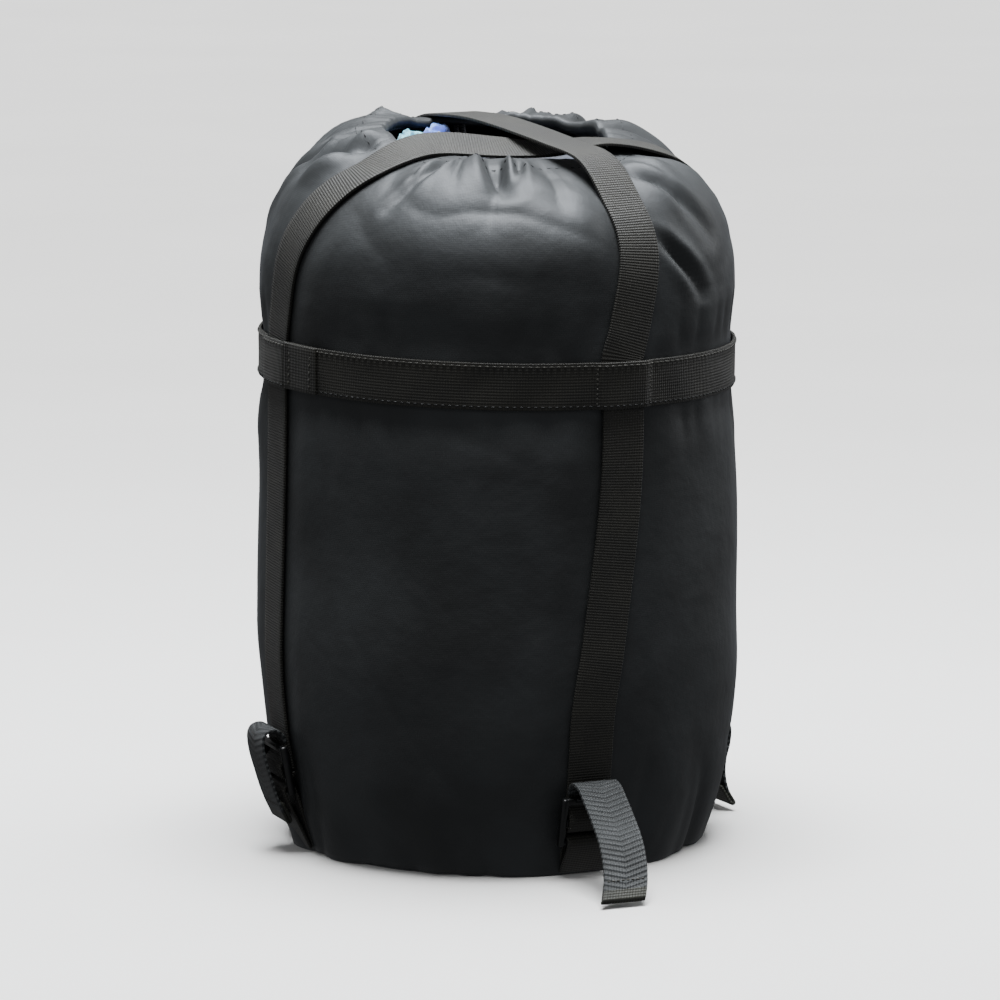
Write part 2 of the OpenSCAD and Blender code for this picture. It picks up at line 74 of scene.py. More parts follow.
# Sizes of the sack, in metres, as the frame's parts have them.
BASE_R = 0.111
BELLY_R = 0.130
BELLY_Z = 0.120
SHOULDER_R = 0.1275
SHOULDER_Z = 0.305
DOME_H = 0.082
DOME_POWER = 0.8
MOUTH_R = 0.062
HEM_W = 0.014
HEM_T = 0.005
CREST_R = MOUTH_R - 0.022
HEM_R = MOUTH_R + HEM_W
LEAN_Y = 0.09
LEAN_X = 0.04
GAP = 0.0003
CORD_D = 0.003
STRAP_W = 0.025
STRAP_T = 0.0016
RING_Z = 0.268
RING_TILT = math.radians(1.3)
LOCK_AZ = (23, -68, 205, 117)
RING_AZ = (31, -66, 207, 110)
LOCK_Z = (0.033, 0.048, 0.033, 0.033)
BAR_PITCH = 0.012
BAR_T = 0.003
BAR_W = 0.004
RAIL_W = 0.004
ANCHOR_BAR_D = 0.004
ARCH_R = 0.0065
LOCK_AT = (-0.018, -0.014)
LOCK_TRAVEL = 0.030
WELD = 0.00002
MOULDED_EDGE = 0.0005
MOULDED_ANGLE = math.radians(40)
BARREL_D = 0.017
BARREL_H = 0.015
KNOT_D = 0.008
CORD_EXIT_AZ = 199
CLOTH_STEPS = 352
PACKED_STEPS = 144
BAND_STEPS = 480
EDGE = 0.0004
HARD_EDGE = 1.0
CLOTH_T = 0.0005
HEM_ROLL = 0.0022
RIM_WAVE = 0.0016
PACKED_INSET = 0.0065
CREASE_R = 0.105


# ---- Outline of the body, the same as the frame's ----

def mix(a, b, t):
    return a + (b - a) * t


def ease(t):
    c = min(1.0, max(0.0, t))
    return c * c * (3 - 2 * c)


def polar(r, az, z):
    a = math.radians(az)
    return Vector((r * math.sin(a), -r * math.cos(a), z))


def dome_angle(r):
    share = (r - CREST_R) / (SHOULDER_R - CREST_R)
    return math.acos(max(0.0, min(1.0, share ** (1 / DOME_POWER))))


MOUTH_ANGLE = dome_angle(MOUTH_R)


def outline(q):
    """Radius and height: q 0 to 1 is the bowl, 1 to 2 the side, 2 to 3 the dome."""
    if q < 1:
        return Vector((BELLY_R - (BELLY_R - BASE_R) * (1 - q) ** 2, q * BELLY_Z))
    if q < 2:
        return Vector((mix(BELLY_R, SHOULDER_R, q - 1), mix(BELLY_Z, SHOULDER_Z, q - 1)))
    a = (q - 2) * MOUTH_ANGLE
    rise = max(0.0, math.sin(a)) ** DOME_POWER
    return Vector((CREST_R + (SHOULDER_R - CREST_R) * math.cos(a) ** DOME_POWER, SHOULDER_Z + DOME_H * rise))


def outline_out(q):
    d = outline(q + 0.01) - outline(q - 0.01)
    return Vector((d.y, -d.x)).normalized()


def skin(q, off):
    return outline(q) + off * outline_out(q)


def q_at(z):
    return z / BELLY_Z if z < BELLY_Z else 1 + (z - BELLY_Z) / (SHOULDER_Z - BELLY_Z)


def q_in(r):
    return 2 + dome_angle(r) / MOUTH_ANGLE


RIM_Z = outline(3).y
FILL_DEPTH = 0.017
FILL_Z = RIM_Z - FILL_DEPTH


def lean(p):
    """Points near the mouth are raised to the back and to the left."""
    if p.z <= SHOULDER_Z:
        return p
    w = min(1.0, max(0.0, (SHOULDER_R - math.hypot(p.x, p.y)) / (SHOULDER_R - HEM_R)))
    return p + Vector((0, 0, w * (LEAN_Y * p.y - LEAN_X * p.x)))


def on_body(az, q, off):
    s = skin(q, off)
    return lean(polar(s.x, az, s.y))


def out_of_body(az, q):
    n = outline_out(q)
    return polar(n.x, az, n.y)


def smooth_rows(rows, steps):
    """Smooth curve through rows of vectors."""
    out = []
    last = len(rows) - 1
    for i in range(last):
        a, b, c, d = rows[max(i - 1, 0)], rows[i], rows[i + 1], rows[min(i + 2, last)]
        for j in range(steps):
            t = j / steps
            out.append(0.5 * (2 * b + (c - a) * t + (2 * a - 5 * b + 4 * c - d) * t * t
                              + (3 * b - a - 3 * c + d) * t * t * t))
    return out + [rows[last]]


# ---- Routes of the webbing and of the cord ----

STRAP_OFF = GAP + STRAP_T / 2
BACK_N = 2 * GAP + STRAP_T / 2
FREE_N = BACK_N + STRAP_T + GAP
BAR_N = FREE_N + STRAP_T / 2 + GAP + BAR_T / 2
TOP_BAR_S = 2 * BAR_PITCH
RUN_SPLIT_S = BAR_PITCH - BAR_W / 2
EXIT_S = TOP_BAR_S + BAR_W / 2 + GAP
ARCH_C = Vector((FREE_N + ARCH_R, EXIT_S + 0.0025))


def strap_on_body(az, q, lift=0.0):
    return on_body(az, q, STRAP_OFF + lift), out_of_body(az, q)


def over_mouth(x, y, up, fx, fy):
    p = lean(Vector((x * MOUTH_R, y * MOUTH_R, RIM_Z + up * MM)))
    return p, Vector((fx, fy, 1)).normalized()


def strap_start(k):
    return [strap_on_body(RING_AZ[k], q_at(RING_Z + rise)) for rise in (GAP / 2, 0.004, STRAP_W / 2)]


def front_to_back_rows():
    rise = [(33, 1.95), (36, 2.12), (37, 2.3), (37, 2.52)]
    top = [(0.86, -1.14, 2, 0.35, -0.45), (0.54, -0.74, 8, 0.12, -0.15),
           (0.03, 0, 9.5, 0, 0), (-0.26, 0.5, 6.5, -0.05, 0.1)]
    fall = [(204, 2.9, 0), (206, 2.7, 0.5 * MM), (207, 2.45, 0.5 * MM), (207, 2.25, 0), (207, 2.1, 0),
            (207, 1.98, 0)]
    return (strap_start(FRONT) + [strap_on_body(*r) for r in rise] + [over_mouth(*r) for r in top]
            + [strap_on_body(*r) for r in fall] + strap_start(BACK)[::-1])


def left_to_right_rows():
    rise = [(-65, 1.95), (-62, 2.12), (-58, 2.3), (-53, 2.5), (-47, 2.72)]
    top = [(-0.62, -0.78, 4, 0, -0.4), (0.03, -0.66, 3, 0, -0.35), (0.44, -0.52, 1.5, 0, -0.2),
           (0.9, -0.3, 4, 0.1, 0)]
    fall = [(94, 2.75, MM), (99, 2.5, 0), (104, 2.3, 0), (107, 2.12, 0), (109, 1.95, 0)]
    return (strap_start(LEFT) + [strap_on_body(*r) for r in rise] + [over_mouth(*r) for r in top]
            + [strap_on_body(*r) for r in fall] + strap_start(RIGHT)[::-1])


def lock_axes(k):
    """Foot of a lock's plane, and its directions across, up along and out of the body."""
    q = LOCK_Z[k] / BELLY_Z
    n = outline_out(q)
    tilt = -math.atan2(n.y, n.x)
    foot = skin(q, 0) - BAR_PITCH * Vector((math.sin(tilt), math.cos(tilt)))
    az = LOCK_AZ[k]
    radial, up = polar(1, az, 0), Vector((0, 0, 1))
    across = Vector((math.cos(math.radians(az)), math.sin(math.radians(az)), 0))
    return (polar(foot.x, az, foot.y), across, math.sin(tilt) * radial + math.cos(tilt) * up,
            math.cos(tilt) * radial - math.sin(tilt) * up)


def in_lock(k, n, s):
    """A point in the middle of a lock's width, n out of its plane's foot and s up along it."""
    foot, _, y, z = lock_axes(k)
    return foot + s * y + n * z


def lock_matrix(k):
    foot, x, y, z = lock_axes(k)
    return Matrix.Translation(foot) @ Matrix((x, y, z)).transposed().to_4x4()


def run_rows(k):
    """The load side, from behind the lock's bars up to the ring band."""
    z = lock_axes(k)[3]
    heights = (RUN_SPLIT_S + 0.0012, TOP_BAR_S / 2 + 0.004, TOP_BAR_S, EXIT_S + 0.002)
    rows = [(in_lock(k, BACK_N, s), z) for s in heights]
    q0, q1 = LOCK_Z[k] / BELLY_Z + 0.03 / BELLY_Z, q_at(RING_Z - GAP / 2)
    for i in range(21):
        s = i / 20
        az = mix(LOCK_AZ[k], RING_AZ[k], ease((s - 0.1) / 0.8))
        q = mix(q0, q1, s)
        rows.append((on_body(az, q, BACK_N), out_of_body(az, q)))
    return rows


def turned(c, r, a0, a1, n):
    return [c + r * Vector((math.cos(a), math.sin(a))) for a in
            (math.radians(mix(a0, a1, i / n)) for i in range(n + 1))]


def wrap_path():
    """Round the middle bar and back behind the top bar, in the lock's plane."""
    front_n = BAR_N + BAR_T / 2 + GAP + STRAP_T / 2
    half = (front_n - BACK_N) / 2
    turn_s = BAR_PITCH - BAR_W / 2 - GAP - STRAP_T / 2 + half
    return ([Vector((BACK_N, RUN_SPLIT_S))]
            + turned(Vector((BACK_N + half, turn_s - half + 0.0012)), half, 195, 345, 14)
            + [Vector((front_n, BAR_PITCH)), Vector((front_n, BAR_PITCH + BAR_W / 2 + 0.0006)),
               Vector((FREE_N + 0.0012, TOP_BAR_S - BAR_W / 2 - 0.0034)),
               Vector((FREE_N, TOP_BAR_S - BAR_W / 2 - 0.001)), Vector((FREE_N, EXIT_S))])


# Free ends from the arch down: outward and sideways in mm, and the share of the height that is left.
FRONT_TAIL = ((0, 0, 1), (5, 0, 0.97), (11, 0, 0.88), (22, 0, 0.7), (34, -1, 0.52), (44, -3, 0.33),
              (52, -6, 0.16), (59, -10, 0.03))
CLOSE_TAIL = ((0, 0, 1), (4, 0, 0.96), (6.5, 0, 0.86), (6, 0, 0.7), (3, -1, 0.52), (2, -2, 0.34),
              (3, -4, 0.17), (6, -6, 0.04))
LEFT_TAIL = ((0, 0, 1), (3, 0, 0.975), (4.5, 0, 0.91), (3.5, 0, 0.78), (0.5, 0, 0.62), (-3, 0, 0.45),
             (-6.5, 0, 0.32), (-10, -1, 0.22))
TAILS = (FRONT_TAIL, LEFT_TAIL, CLOSE_TAIL, CLOSE_TAIL)
TIP_Z = STRAP_T / 2 + 0.0026
TIP_HEM = 0.007


def tail_points(k):
    """The free end from the arch's top to its tip."""
    across = lock_axes(k)[1]
    top = in_lock(k, ARCH_C.x + GAP, ARCH_C.y + ARCH_R)
    radial = polar(1, LOCK_AZ[k], 0)
    out = []
    for away, side, share in TAILS[k]:
        p = top + radial * away * MM + across * side * MM
        out.append(Vector((p.x, p.y, mix(TIP_Z, top.z, share))))
    return out


CORD_PITCH = CORD_D + 2 * GAP
CORD_Z = FILL_Z + GAP + BARREL_H / 2
HEM_MID = Vector((MOUTH_R + HEM_W / 2, outline(q_in(MOUTH_R + HEM_W / 2)).y - HEM_T / 2 - GAP))
KNOT_Y = LOCK_AT[1] - BARREL_D / 2 - KNOT_D / 2 - MM


def cord_rows(s):
    """From the hem forwards, under the strap and through the cord lock, to the knot."""
    p = polar(MOUTH_R + 0.003, CORD_EXIT_AZ, HEM_MID.y)
    z0 = lean(p).z
    side = s * CORD_PITCH / 2
    x1 = LOCK_AT[0] + side
    return [Vector(r) for r in (
        (p.x + side, p.y, z0), (mix(p.x, LOCK_AT[0], 0.3) + side, 0.052, mix(z0, CORD_Z, 0.4)),
        (x1, 0.044, mix(z0, CORD_Z, 0.85)), (x1, 0.034, CORD_Z), (x1, 0.020, CORD_Z), (x1, 0, CORD_Z),
        (x1, LOCK_AT[1], CORD_Z), (x1, KNOT_Y + KNOT_D / 2, CORD_Z))]


# ---- Nodes and materials ----

def linear(hex_colour):
    """An sRGB hex colour as the linear colour that the shader takes."""
    parts = [int(hex_colour[i:i + 2], 16) / 255 for i in (1, 3, 5)]
    return [c / 12.92 if c <= 0.04045 else ((c + 0.055) / 1.055) ** 2.4 for c in parts] + [1.0]


def add(tree, kind, inputs=None, **settings):
    """Adds a node with its settings, values and links."""
    node = tree.nodes.new(kind)
    for name, value in settings.items():
        setattr(node, name, value)
    for name, value in (inputs or {}).items():
        socket = node.inputs[name]
        if isinstance(value, bpy.types.NodeSocket):
            tree.links.new(value, socket)
        else:
            socket.default_value = value
    return node


def begin(name, **values):
    """A material with one Principled shader, and what its texture nodes need."""
    material = bpy.data.materials.new(name)
    material.use_nodes = True
    tree = material.node_tree
    tree.nodes.clear()
    shader = add(tree, "ShaderNodeBsdfPrincipled", values)
    out = add(tree, "ShaderNodeOutputMaterial")
    tree.links.new(shader.outputs["BSDF"], out.inputs["Surface"])
    coords = add(tree, "ShaderNodeTexCoord")
    return material, tree, shader, coords


def mottle(tree, vector, size, detail=3.0):
    """Cloudy variation about size metres across."""
    values = {"Vector": vector, "Scale": 1 / size, "Detail": detail}
    return add(tree, "ShaderNodeTexNoise", values).outputs["Fac"]


def two_tones(tree, fac, low, high, start=0.35, end=0.65):
    low, high = (linear(c) if isinstance(c, str) else (*c, 1.0) for c in (low, high))
    ramp = add(tree, "ShaderNodeValToRGB", {"Fac": fac})
    ramp.color_ramp.elements[0].position = start
    ramp.color_ramp.elements[0].color = low
    ramp.color_ramp.elements[1].position = end
    ramp.color_ramp.elements[1].color = high
    return ramp.outputs["Color"]


def stripes(tree, vector, pitch, direction):
    """Bands of one real pitch in metres; a wave node's period is 2 pi over 20 times its scale."""
    wave = add(tree, "ShaderNodeTexWave", {"Vector": vector, "Scale": 2 * math.pi / (20 * pitch),
                                           "Distortion": 0.0}, bands_direction=direction)
    return wave.outputs["Fac"]


def bumped(tree, shader, heights):
    """Stacks bumps, each (height socket, depth in metres)."""
    normal = None
    for height, depth in heights:
        values = {"Height": height, "Distance": depth, "Strength": 1.0}
        if normal is not None:
            values["Normal"] = normal
        normal = add(tree, "ShaderNodeBump", values).outputs["Normal"]
    tree.links.new(normal, shader.inputs["Normal"])


def taffeta(sizes):
    # Nylon taffeta with a thin coating on its back, woven and calendered: a tight plain weave
    # that crinkles, nearly black, with a soft satin shine where it turns to the light.
    material, tree, shader, coords = begin("nylon_taffeta_woven", **{
        "Roughness": 0.55, "IOR": 1.53, "Specular IOR Level": 0.42, "Specular Tint": linear("#eef3fa"),
        "Sheen Weight": 0.04, "Sheen Roughness": 0.3, "Sheen Tint": linear("#c5ccd6")})
    tone = mottle(tree, coords.outputs["Object"], 0.06)
    tree.links.new(two_tones(tree, tone, sizes.cloth_colour, sizes.cloth_light), shader.inputs["Base Color"])
    uv = coords.outputs["UV"]
    # Real threads are 0.15 mm apart; they are drawn 1 mm apart so that they show.
    warp = stripes(tree, uv, sizes.weave_pitch, "X")
    weft = stripes(tree, uv, sizes.weave_pitch, "Y")
    crinkle = mottle(tree, coords.outputs["Object"], 0.011, 5.0)
    crease = add(tree, "ShaderNodeTexNoise", {
        "Vector": coords.outputs["Object"], "Scale": 38.0, "Detail": 2.0, "Distortion": 0.6},
        noise_type="RIDGED_MULTIFRACTAL")
    bumped(tree, shader, [(crinkle, 0.0005), (crease.outputs["Fac"], 0.0003), (warp, 0.000012),
                          (weft, 0.000012)])
    return material


def cloudy(name, low, high, size, bumps, tones=(0.35, 0.65), **values):
    """A finish in two tones that drift over size metres, with bumps, each (size, depth, detail)."""
    material, tree, shader, coords = begin(name, **values)
    where = coords.outputs["Object"]
    tree.links.new(two_tones(tree, mottle(tree, where, size), low, high, *tones), shader.inputs["Base Color"])
    if bumps:
        bumped(tree, shader, [(mottle(tree, where, grain, detail), depth) for grain, depth, detail in bumps])
    return material


def webbing(name, low, high, rib, depth=0.0002, slant=0.0):
    material, tree, shader, coords = begin(name, **{
        "Roughness": 0.6, "IOR": 1.5, "Sheen Weight": 0.08, "Sheen Roughness": 0.5})
    uv = coords.outputs["UV"]
    parts = add(tree, "ShaderNodeSeparateXYZ", {"Vector": uv})
    # The weft rises and falls in a flat chevron across the width.
    fold = add(tree, "ShaderNodeMath", {0: parts.outputs["X"]}, operation="ABSOLUTE")
    shifted = add(tree, "ShaderNodeMath", {0: fold.outputs[0], 1: slant, 2: parts.outputs["Y"]},
                  operation="MULTIPLY_ADD")
    along = add(tree, "ShaderNodeCombineXYZ", {"X": parts.outputs["X"], "Y": shifted.outputs[0]})
    ribs = stripes(tree, along.outputs["Vector"], rib, "Y")
    warps = stripes(tree, uv, 0.0016, "X")
    tone = add(tree, "ShaderNodeMath", {0: ribs, 1: 0.35, 2: mottle(tree, coords.outputs["Object"], 0.02)},
               operation="MULTIPLY_ADD")
    tree.links.new(two_tones(tree, tone.outputs[0], low, high, 0.4, 0.95), shader.inputs["Base Color"])
    bumped(tree, shader, [(ribs, depth), (warps, depth * 0.6)])
    return material


def make_materials(sizes):
    """Every finish, by name."""
    m = {"taffeta": taffeta(sizes)}
    # Polyester webbing, woven: matt, warm black, with close ribs across its width.
    m["webbing"] = webbing("polyester_webbing_woven", "#12120f", "#26251f", sizes.rib_pitch)
    # The same webbing on the free ends, worn, and painted greyer as a painted highlight where it lies flat to
    # the light, with wide slanting ribs.
    m["free_end"] = webbing("polyester_webbing_worn_painted_lit", "#1f2224", "#3d4143", 0.0033, 0.0005, 0.3)
    # The tip of a free end, folded under: the same webbing, unworn, with an olive cast.
    m["fold"] = webbing("polyester_webbing_folded_hem", "#191b14", "#2f3128", 0.0018)
    # Polyester seam tape, woven: thin and black.
    m["tape"] = webbing("polyester_seam_tape_woven", "#0c0d0f", "#1a1b1e", 0.0018)
    # Spun polyester thread, a little lighter than what it sews.
    m["thread"] = cloudy("polyester_thread_spun", "#2c2c28", "#44433d", 0.003, [(0.0006, 0.0001, 3.0)],
                         **{"Roughness": 0.55, "Sheen Weight": 0.2})
    # The same thread in black, for the hem and the lower edge of the ring band.
    m["dark_thread"] = cloudy("polyester_thread_dark", "#101214", "#1c1e20", 0.003, [(0.0006, 0.0001, 3.0)],
                              Roughness=0.6)
    # Acetal, injection moulded: hard black plastic with a fine spark-eroded grain and shiny edges.
    m["acetal"] = cloudy("acetal_moulded", "#0d0e0f", "#17181a", 0.004, [(0.0005, 0.00005, 3.0)],
                         **{"Roughness": 0.34, "IOR": 1.48, "Specular IOR Level": 0.5})
    # Spring wire, drawn and nickel plated.
    m["spring"] = cloudy("spring_steel_drawn", "#a5a7a9", "#c6c8ca", 0.002, [(0.0004, 0.00002, 3.0)],
                         Metallic=1.0, Roughness=0.28)
    # Braided polyester cord: a sleeve of crossing strands, dark grey.
    material, tree, shader, coords = begin("polyester_cord_braided", **{
        "Roughness": 0.6, "Sheen Weight": 0.2})
    strands = stripes(tree, coords.outputs["UV"], 0.0014, "DIAGONAL")
    tree.links.new(two_tones(tree, strands, "#26282b", "#4d5056", 0.2, 0.8), shader.inputs["Base Color"])
    bumped(tree, shader, [(strands, 0.0004)])
    m["cord"] = material
    # The studio floor: matt white paper.
    m["floor"] = cloudy("paper_matt", "#f4f4f3", "#f8f8f7", 0.4, [], Roughness=0.9)
    for key, name, low, high, size in (
        # Cotton terry, woven with loops: soft and dull.
        ("towel", "cotton_terry_looped", "#0b7391", "#84d9e8", 0.006),
        # Cotton jersey, knitted: dull, with light and dark patches of its print.
        ("shirt", "cotton_jersey_knitted", "#173fae", "#5f8fe6", 0.008),
        # Cotton twill tape, woven: flat grey.
        ("grey_tape", "cotton_twill_tape_woven", "#77808a", "#a9b2bd", 0.004),
        # Mixed cotton clothing, packed tight: dark navy, in folds.
        ("clothes", "cotton_clothing_packed", "#0d1016", "#2a3242", 0.020),
    ):
        m[key] = cloudy(name, low, high, size, [(0.005, 0.001, 4.0), (0.0009, 0.0002, 3.0)], (0.42, 0.58),
                        **{"Roughness": 0.85, "Sheen Weight": 0.3, "Sheen Roughness": 0.6})
    return m


MATERIALS = {}


def finish_of(key):
    if not MATERIALS:
        MATERIALS.update(make_materials(bpy.context.scene.sack_finishes))
    return MATERIALS[key]


# ---- Making pieces ----

def piece(name, bm, key, body=None, replaced=()):
    """A finished object from a bmesh, riding on a body."""
    bm.normal_update()
    mesh = bpy.data.meshes.new(name)
    bm.to_mesh(mesh)
    bm.free()
    mesh.polygons.foreach_set("use_smooth", [True] * len(mesh.polygons))
    obj = bpy.data.objects.new(name, mesh)
    bpy.context.scene.collection.objects.link(obj)
    mesh.materials.append(finish_of(key))
    if body:
        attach(obj, body)
    if replaced:
        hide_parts(*replaced)
    return obj


def paint(name, key):
    """Gives a CAD node that stays in view its material."""
    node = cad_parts[name]
    node.data.materials.clear()
    node.data.materials.append(finish_of(key))


def rounded(bm, edges, offset, segments):
    bmesh.ops.bevel(bm, geom=edges, offset=offset, offset_type="OFFSET", segments=segments, profile=0.5,
                    affect="EDGES", clamp_overlap=True, material=-1)


def roll_edges(bm):
    """Rounds the woven edges of webbing or tape."""
    rounded(bm, [e for e in bm.edges if len(e.link_faces) == 2 and e.calc_face_angle() > HARD_EDGE], EDGE, 2)


def spun(bm, line, steps):
    """Turns a line of points into a closed ring round the upright axis."""
    edges = [bm.edges.new(pair) for pair in zip(line, line[1:])]
    bmesh.ops.spin(bm, geom=line + edges, axis=(0, 0, 1), cent=(0, 0, 0), angle=2 * math.pi, steps=steps,
                   use_merge=True, use_duplicate=False)


def face_outward(bm):
    bm.normal_update()
    if bm.faces[:][0].normal.dot(bm.faces[:][0].calc_center_median()) < 0:
        bmesh.ops.reverse_faces(bm, faces=bm.faces[:])


def mapped_round(bm, place):
    """A map in metres round the sack, from place(azimuth, vertex), without a jump inside a face."""
    uv = bm.loops.layers.uv.new("UVMap")
    for f in bm.faces:
        mid = f.calc_center_median()
        centre = math.atan2(mid.x, -mid.y)
        for loop in f.loops:
            az = math.atan2(loop.vert.co.x, -loop.vert.co.y)
            az += 2 * math.pi * round((centre - az) / (2 * math.pi))
            loop[uv].uv = place(az, loop.vert)


def heading(points, i):
    """Which way a line of points runs at point i."""
    return (points[min(i + 1, len(points) - 1)] - points[max(i - 1, 0)]).normalized()


def side_rows(pairs):
    """(centre, across, up) at each of a strap's (centre, outward) pairs."""
    pts = [p for p, n in pairs]
    rows = []
    for i, (p, n) in enumerate(pairs):
        t = heading(pts, i)
        across = n.cross(t).normalized()
        rows.append((p, across, t.cross(across).normalized()))
    return rows


def flat_rows(k, path):
    """The same, for a path in a lock's plane; up is to the left of the path."""
    foot, x, y, z = lock_axes(k)
    rows = []
    for i, p in enumerate(path):
        d = heading(path, i)
        rows.append((foot + p.x * z + p.y * y, x, (-d.y * z + d.x * y)))
    return rows


def ribbon(rows, thick=STRAP_T, across=8):
    """Webbing along rows of (centre, across, up), with rolled edges, as a bmesh with a map in metres."""
    bm = bmesh.new()
    uv = bm.loops.layers.uv.new("UVMap")
    n = len(rows) - 1
    bmesh.ops.create_grid(bm, x_segments=n, y_segments=across, size=0.5)
    length = [0.0]
    for i in range(n):
        length.append(length[-1] + (rows[i + 1][0] - rows[i][0]).length)
    place = {v: (round((v.co.x + 0.5) * n), v.co.y) for v in bm.verts}
    for f in bm.faces:
        for loop in f.loops:
            i, u = place[loop.vert]
            loop[uv].uv = (u * STRAP_W, length[i])
    for v, (i, u) in place.items():
        p, side, up = rows[i]
        v.co = p + side * (u * STRAP_W) + up * (thick / 2)
    bm.normal_update()
    bm.faces.ensure_lookup_table()
    middle = bm.faces[len(bm.faces) // 2]
    i = place[middle.verts[0]][0]
    if middle.normal.dot(rows[i][2]) < 0:
        bmesh.ops.reverse_faces(bm, faces=bm.faces[:])
    bmesh.ops.solidify(bm, geom=bm.faces[:], thickness=thick)
    bm.normal_update()
    roll_edges(bm)
    return bm


def box_bm(bm, centre, size, edge, segments=3, turn=Matrix.Identity(4)):
    """A rounded block added to a bmesh."""
    place = Matrix.Translation(centre) @ turn @ Matrix.Diagonal((*size, 1))
    made = bmesh.ops.create_cube(bm, size=1.0, matrix=place)
    rounded(bm, list({e for v in made["verts"] for e in v.link_edges}), edge, segments)


def stitches(name, points, ups, body, key="thread", length=None, gap=0.0014, size=0.00045):
    """A row of lock stitches, each a short plump thread, along points on a surface."""
    length = length or bpy.context.scene.sack_sizes.stitch_length
    bm = bmesh.new()
    step = length + gap
    lengths = [0.0]
    for a, b in zip(points, points[1:]):
        lengths.append(lengths[-1] + (b - a).length)
    j = 0
    for c in range(int(lengths[-1] // step)):
        d = step * (c + 0.5)
        while j < len(points) - 2 and lengths[j + 1] < d:
            j += 1
        t = (d - lengths[j]) / max(1e-9, lengths[j + 1] - lengths[j])
        p = points[j].lerp(points[j + 1], t)
        along = (points[j + 1] - points[j]).normalized()
        up = ups[j]
        side = up.cross(along).normalized()
        turn = Matrix((side, along.cross(side), along)).transposed().to_4x4()
        place = Matrix.Translation(p) @ turn @ Matrix.Diagonal((size, size, length / 2, 1))
        bmesh.ops.create_uvsphere(bm, u_segments=6, v_segments=4, radius=1.0, matrix=place)
    return piece(name, bm, key, body)


def tube(name, points, radius):
    """A round cord along points, as a mesh with a map in metres, closed at its ends."""
    curve = bpy.data.curves.new(name, "CURVE")
    curve.dimensions = "3D"
    curve.bevel_depth = radius
    curve.bevel_resolution = 2
    curve.use_fill_caps = True
    line = curve.splines.new("POLY")
    line.points.add(len(points) - 1)
    for dot, p in zip(line.points, points):
        dot.co = (*p, 1)
    holder = bpy.data.objects.new(name + "_line", curve)
    bpy.context.scene.collection.objects.link(holder)
    bpy.context.view_layer.update()
    graph = bpy.context.evaluated_depsgraph_get()
    mesh = bpy.data.meshes.new_from_object(holder.evaluated_get(graph))
    bpy.data.objects.remove(holder)
    bm = bmesh.new()
    bm.from_mesh(mesh)
    bpy.data.meshes.remove(mesh)
    bmesh.ops.remove_doubles(bm, verts=bm.verts[:], dist=1e-6)
    bmesh.ops.recalc_face_normals(bm, faces=bm.faces[:])
    uv = bm.loops.layers.uv.verify()
    total = sum((b - a).length for a, b in zip(points, points[1:]))
    for f in bm.faces:
        for loop in f.loops:
            a, b = loop[uv].uv
            loop[uv].uv = (a * total, b * 2 * math.pi * radius)
    return bm, total


# ---- The cloth ----

def strap_lines():
    """Every strap's centre line, for how the cloth lies beside it."""
    lines = [[p for p, n in smooth_rows_pairs(front_to_back_rows(), 4)],
             [p for p, n in smooth_rows_pairs(left_to_right_rows(), 4)]]
    lines += [[p for p, n in run_rows(k)] for k in range(4)]
    return [p for line in lines for p in line]


def smooth_rows_pairs(pairs, steps):
    points = smooth_rows([p for p, n in pairs], steps)
    outs = smooth_rows([n for p, n in pairs], steps)
    return list(zip(points, outs))


def noise_at(az, y, around, along, seed):
    """Smooth noise that closes on itself round the sack, with about `around` features round it."""
    k = around / 6.5
    return noise.noise(Vector((math.cos(az) * k + seed, math.sin(az) * k - seed, y * along + seed * 0.7)))


def valley(x, sharp):
    """Sharp valleys between soft rolls, from noise: -0.5 in a valley, up to about 0.9 on a roll."""
    return 1.4 * math.tanh(abs(x) * sharp / 1.4) - 0.5


# Single deep creases in the dome: azimuth and way up at both ends, half width and depth in metres.
CREASES = (
    (-2, 0.95, 3, 0.62, 0.0050, 0.0085), (9, 0.95, 6, 0.70, 0.0030, 0.0045),
    (-17, 0.95, -30, 0.45, 0.0030, 0.0040), (43, 0.30, 60, -0.02, 0.0030, 0.0055),
    (52, 0.75, 66, 0.25, 0.0045, 0.0050), (-62, 0.86, -78, 0.62, 0.0060, 0.0085),
    (-84, 0.70, -96, 0.20, 0.0040, 0.0050), (80, 0.9, 84, 0.5, 0.0040, 0.0050),
    (140, 0.9, 150, 0.3, 0.0045, 0.0060), (172, 0.95, 168, 0.55, 0.0050, 0.0075),
    (-130, 0.9, -122, 0.35, 0.0045, 0.0060), (236, 0.8, 250, 0.25, 0.004, 0.005),
)


def crease_depth(az, up):
    """How deep the single creases are at a place on the dome, with the roll that stands up beside each."""
    h = 0.0
    for a0, u0, a1, u1, wide, deep in CREASES:
        turn = (az - a0 + 180) % 360 - 180
        x, y = math.radians(turn) * CREASE_R, (up - u0) * CREASE_R
        dx, dy = math.radians(a1 - a0) * CREASE_R, (u1 - u0) * CREASE_R
        t = (x * dx + y * dy) / (dx * dx + dy * dy)
        c = min(1.0, max(0.0, t))
        d = math.hypot(x - c * dx, y - c * dy)
        if d < 6 * wide:
            fade = 1 - 0.8 * c ** 2
            h -= deep * fade * math.exp(-(d / wide) ** 2)
            h += 0.4 * deep * fade * math.exp(-((d - 2.3 * wide) / wide) ** 2)
    return h * ease((1.0 - up) / 0.12)


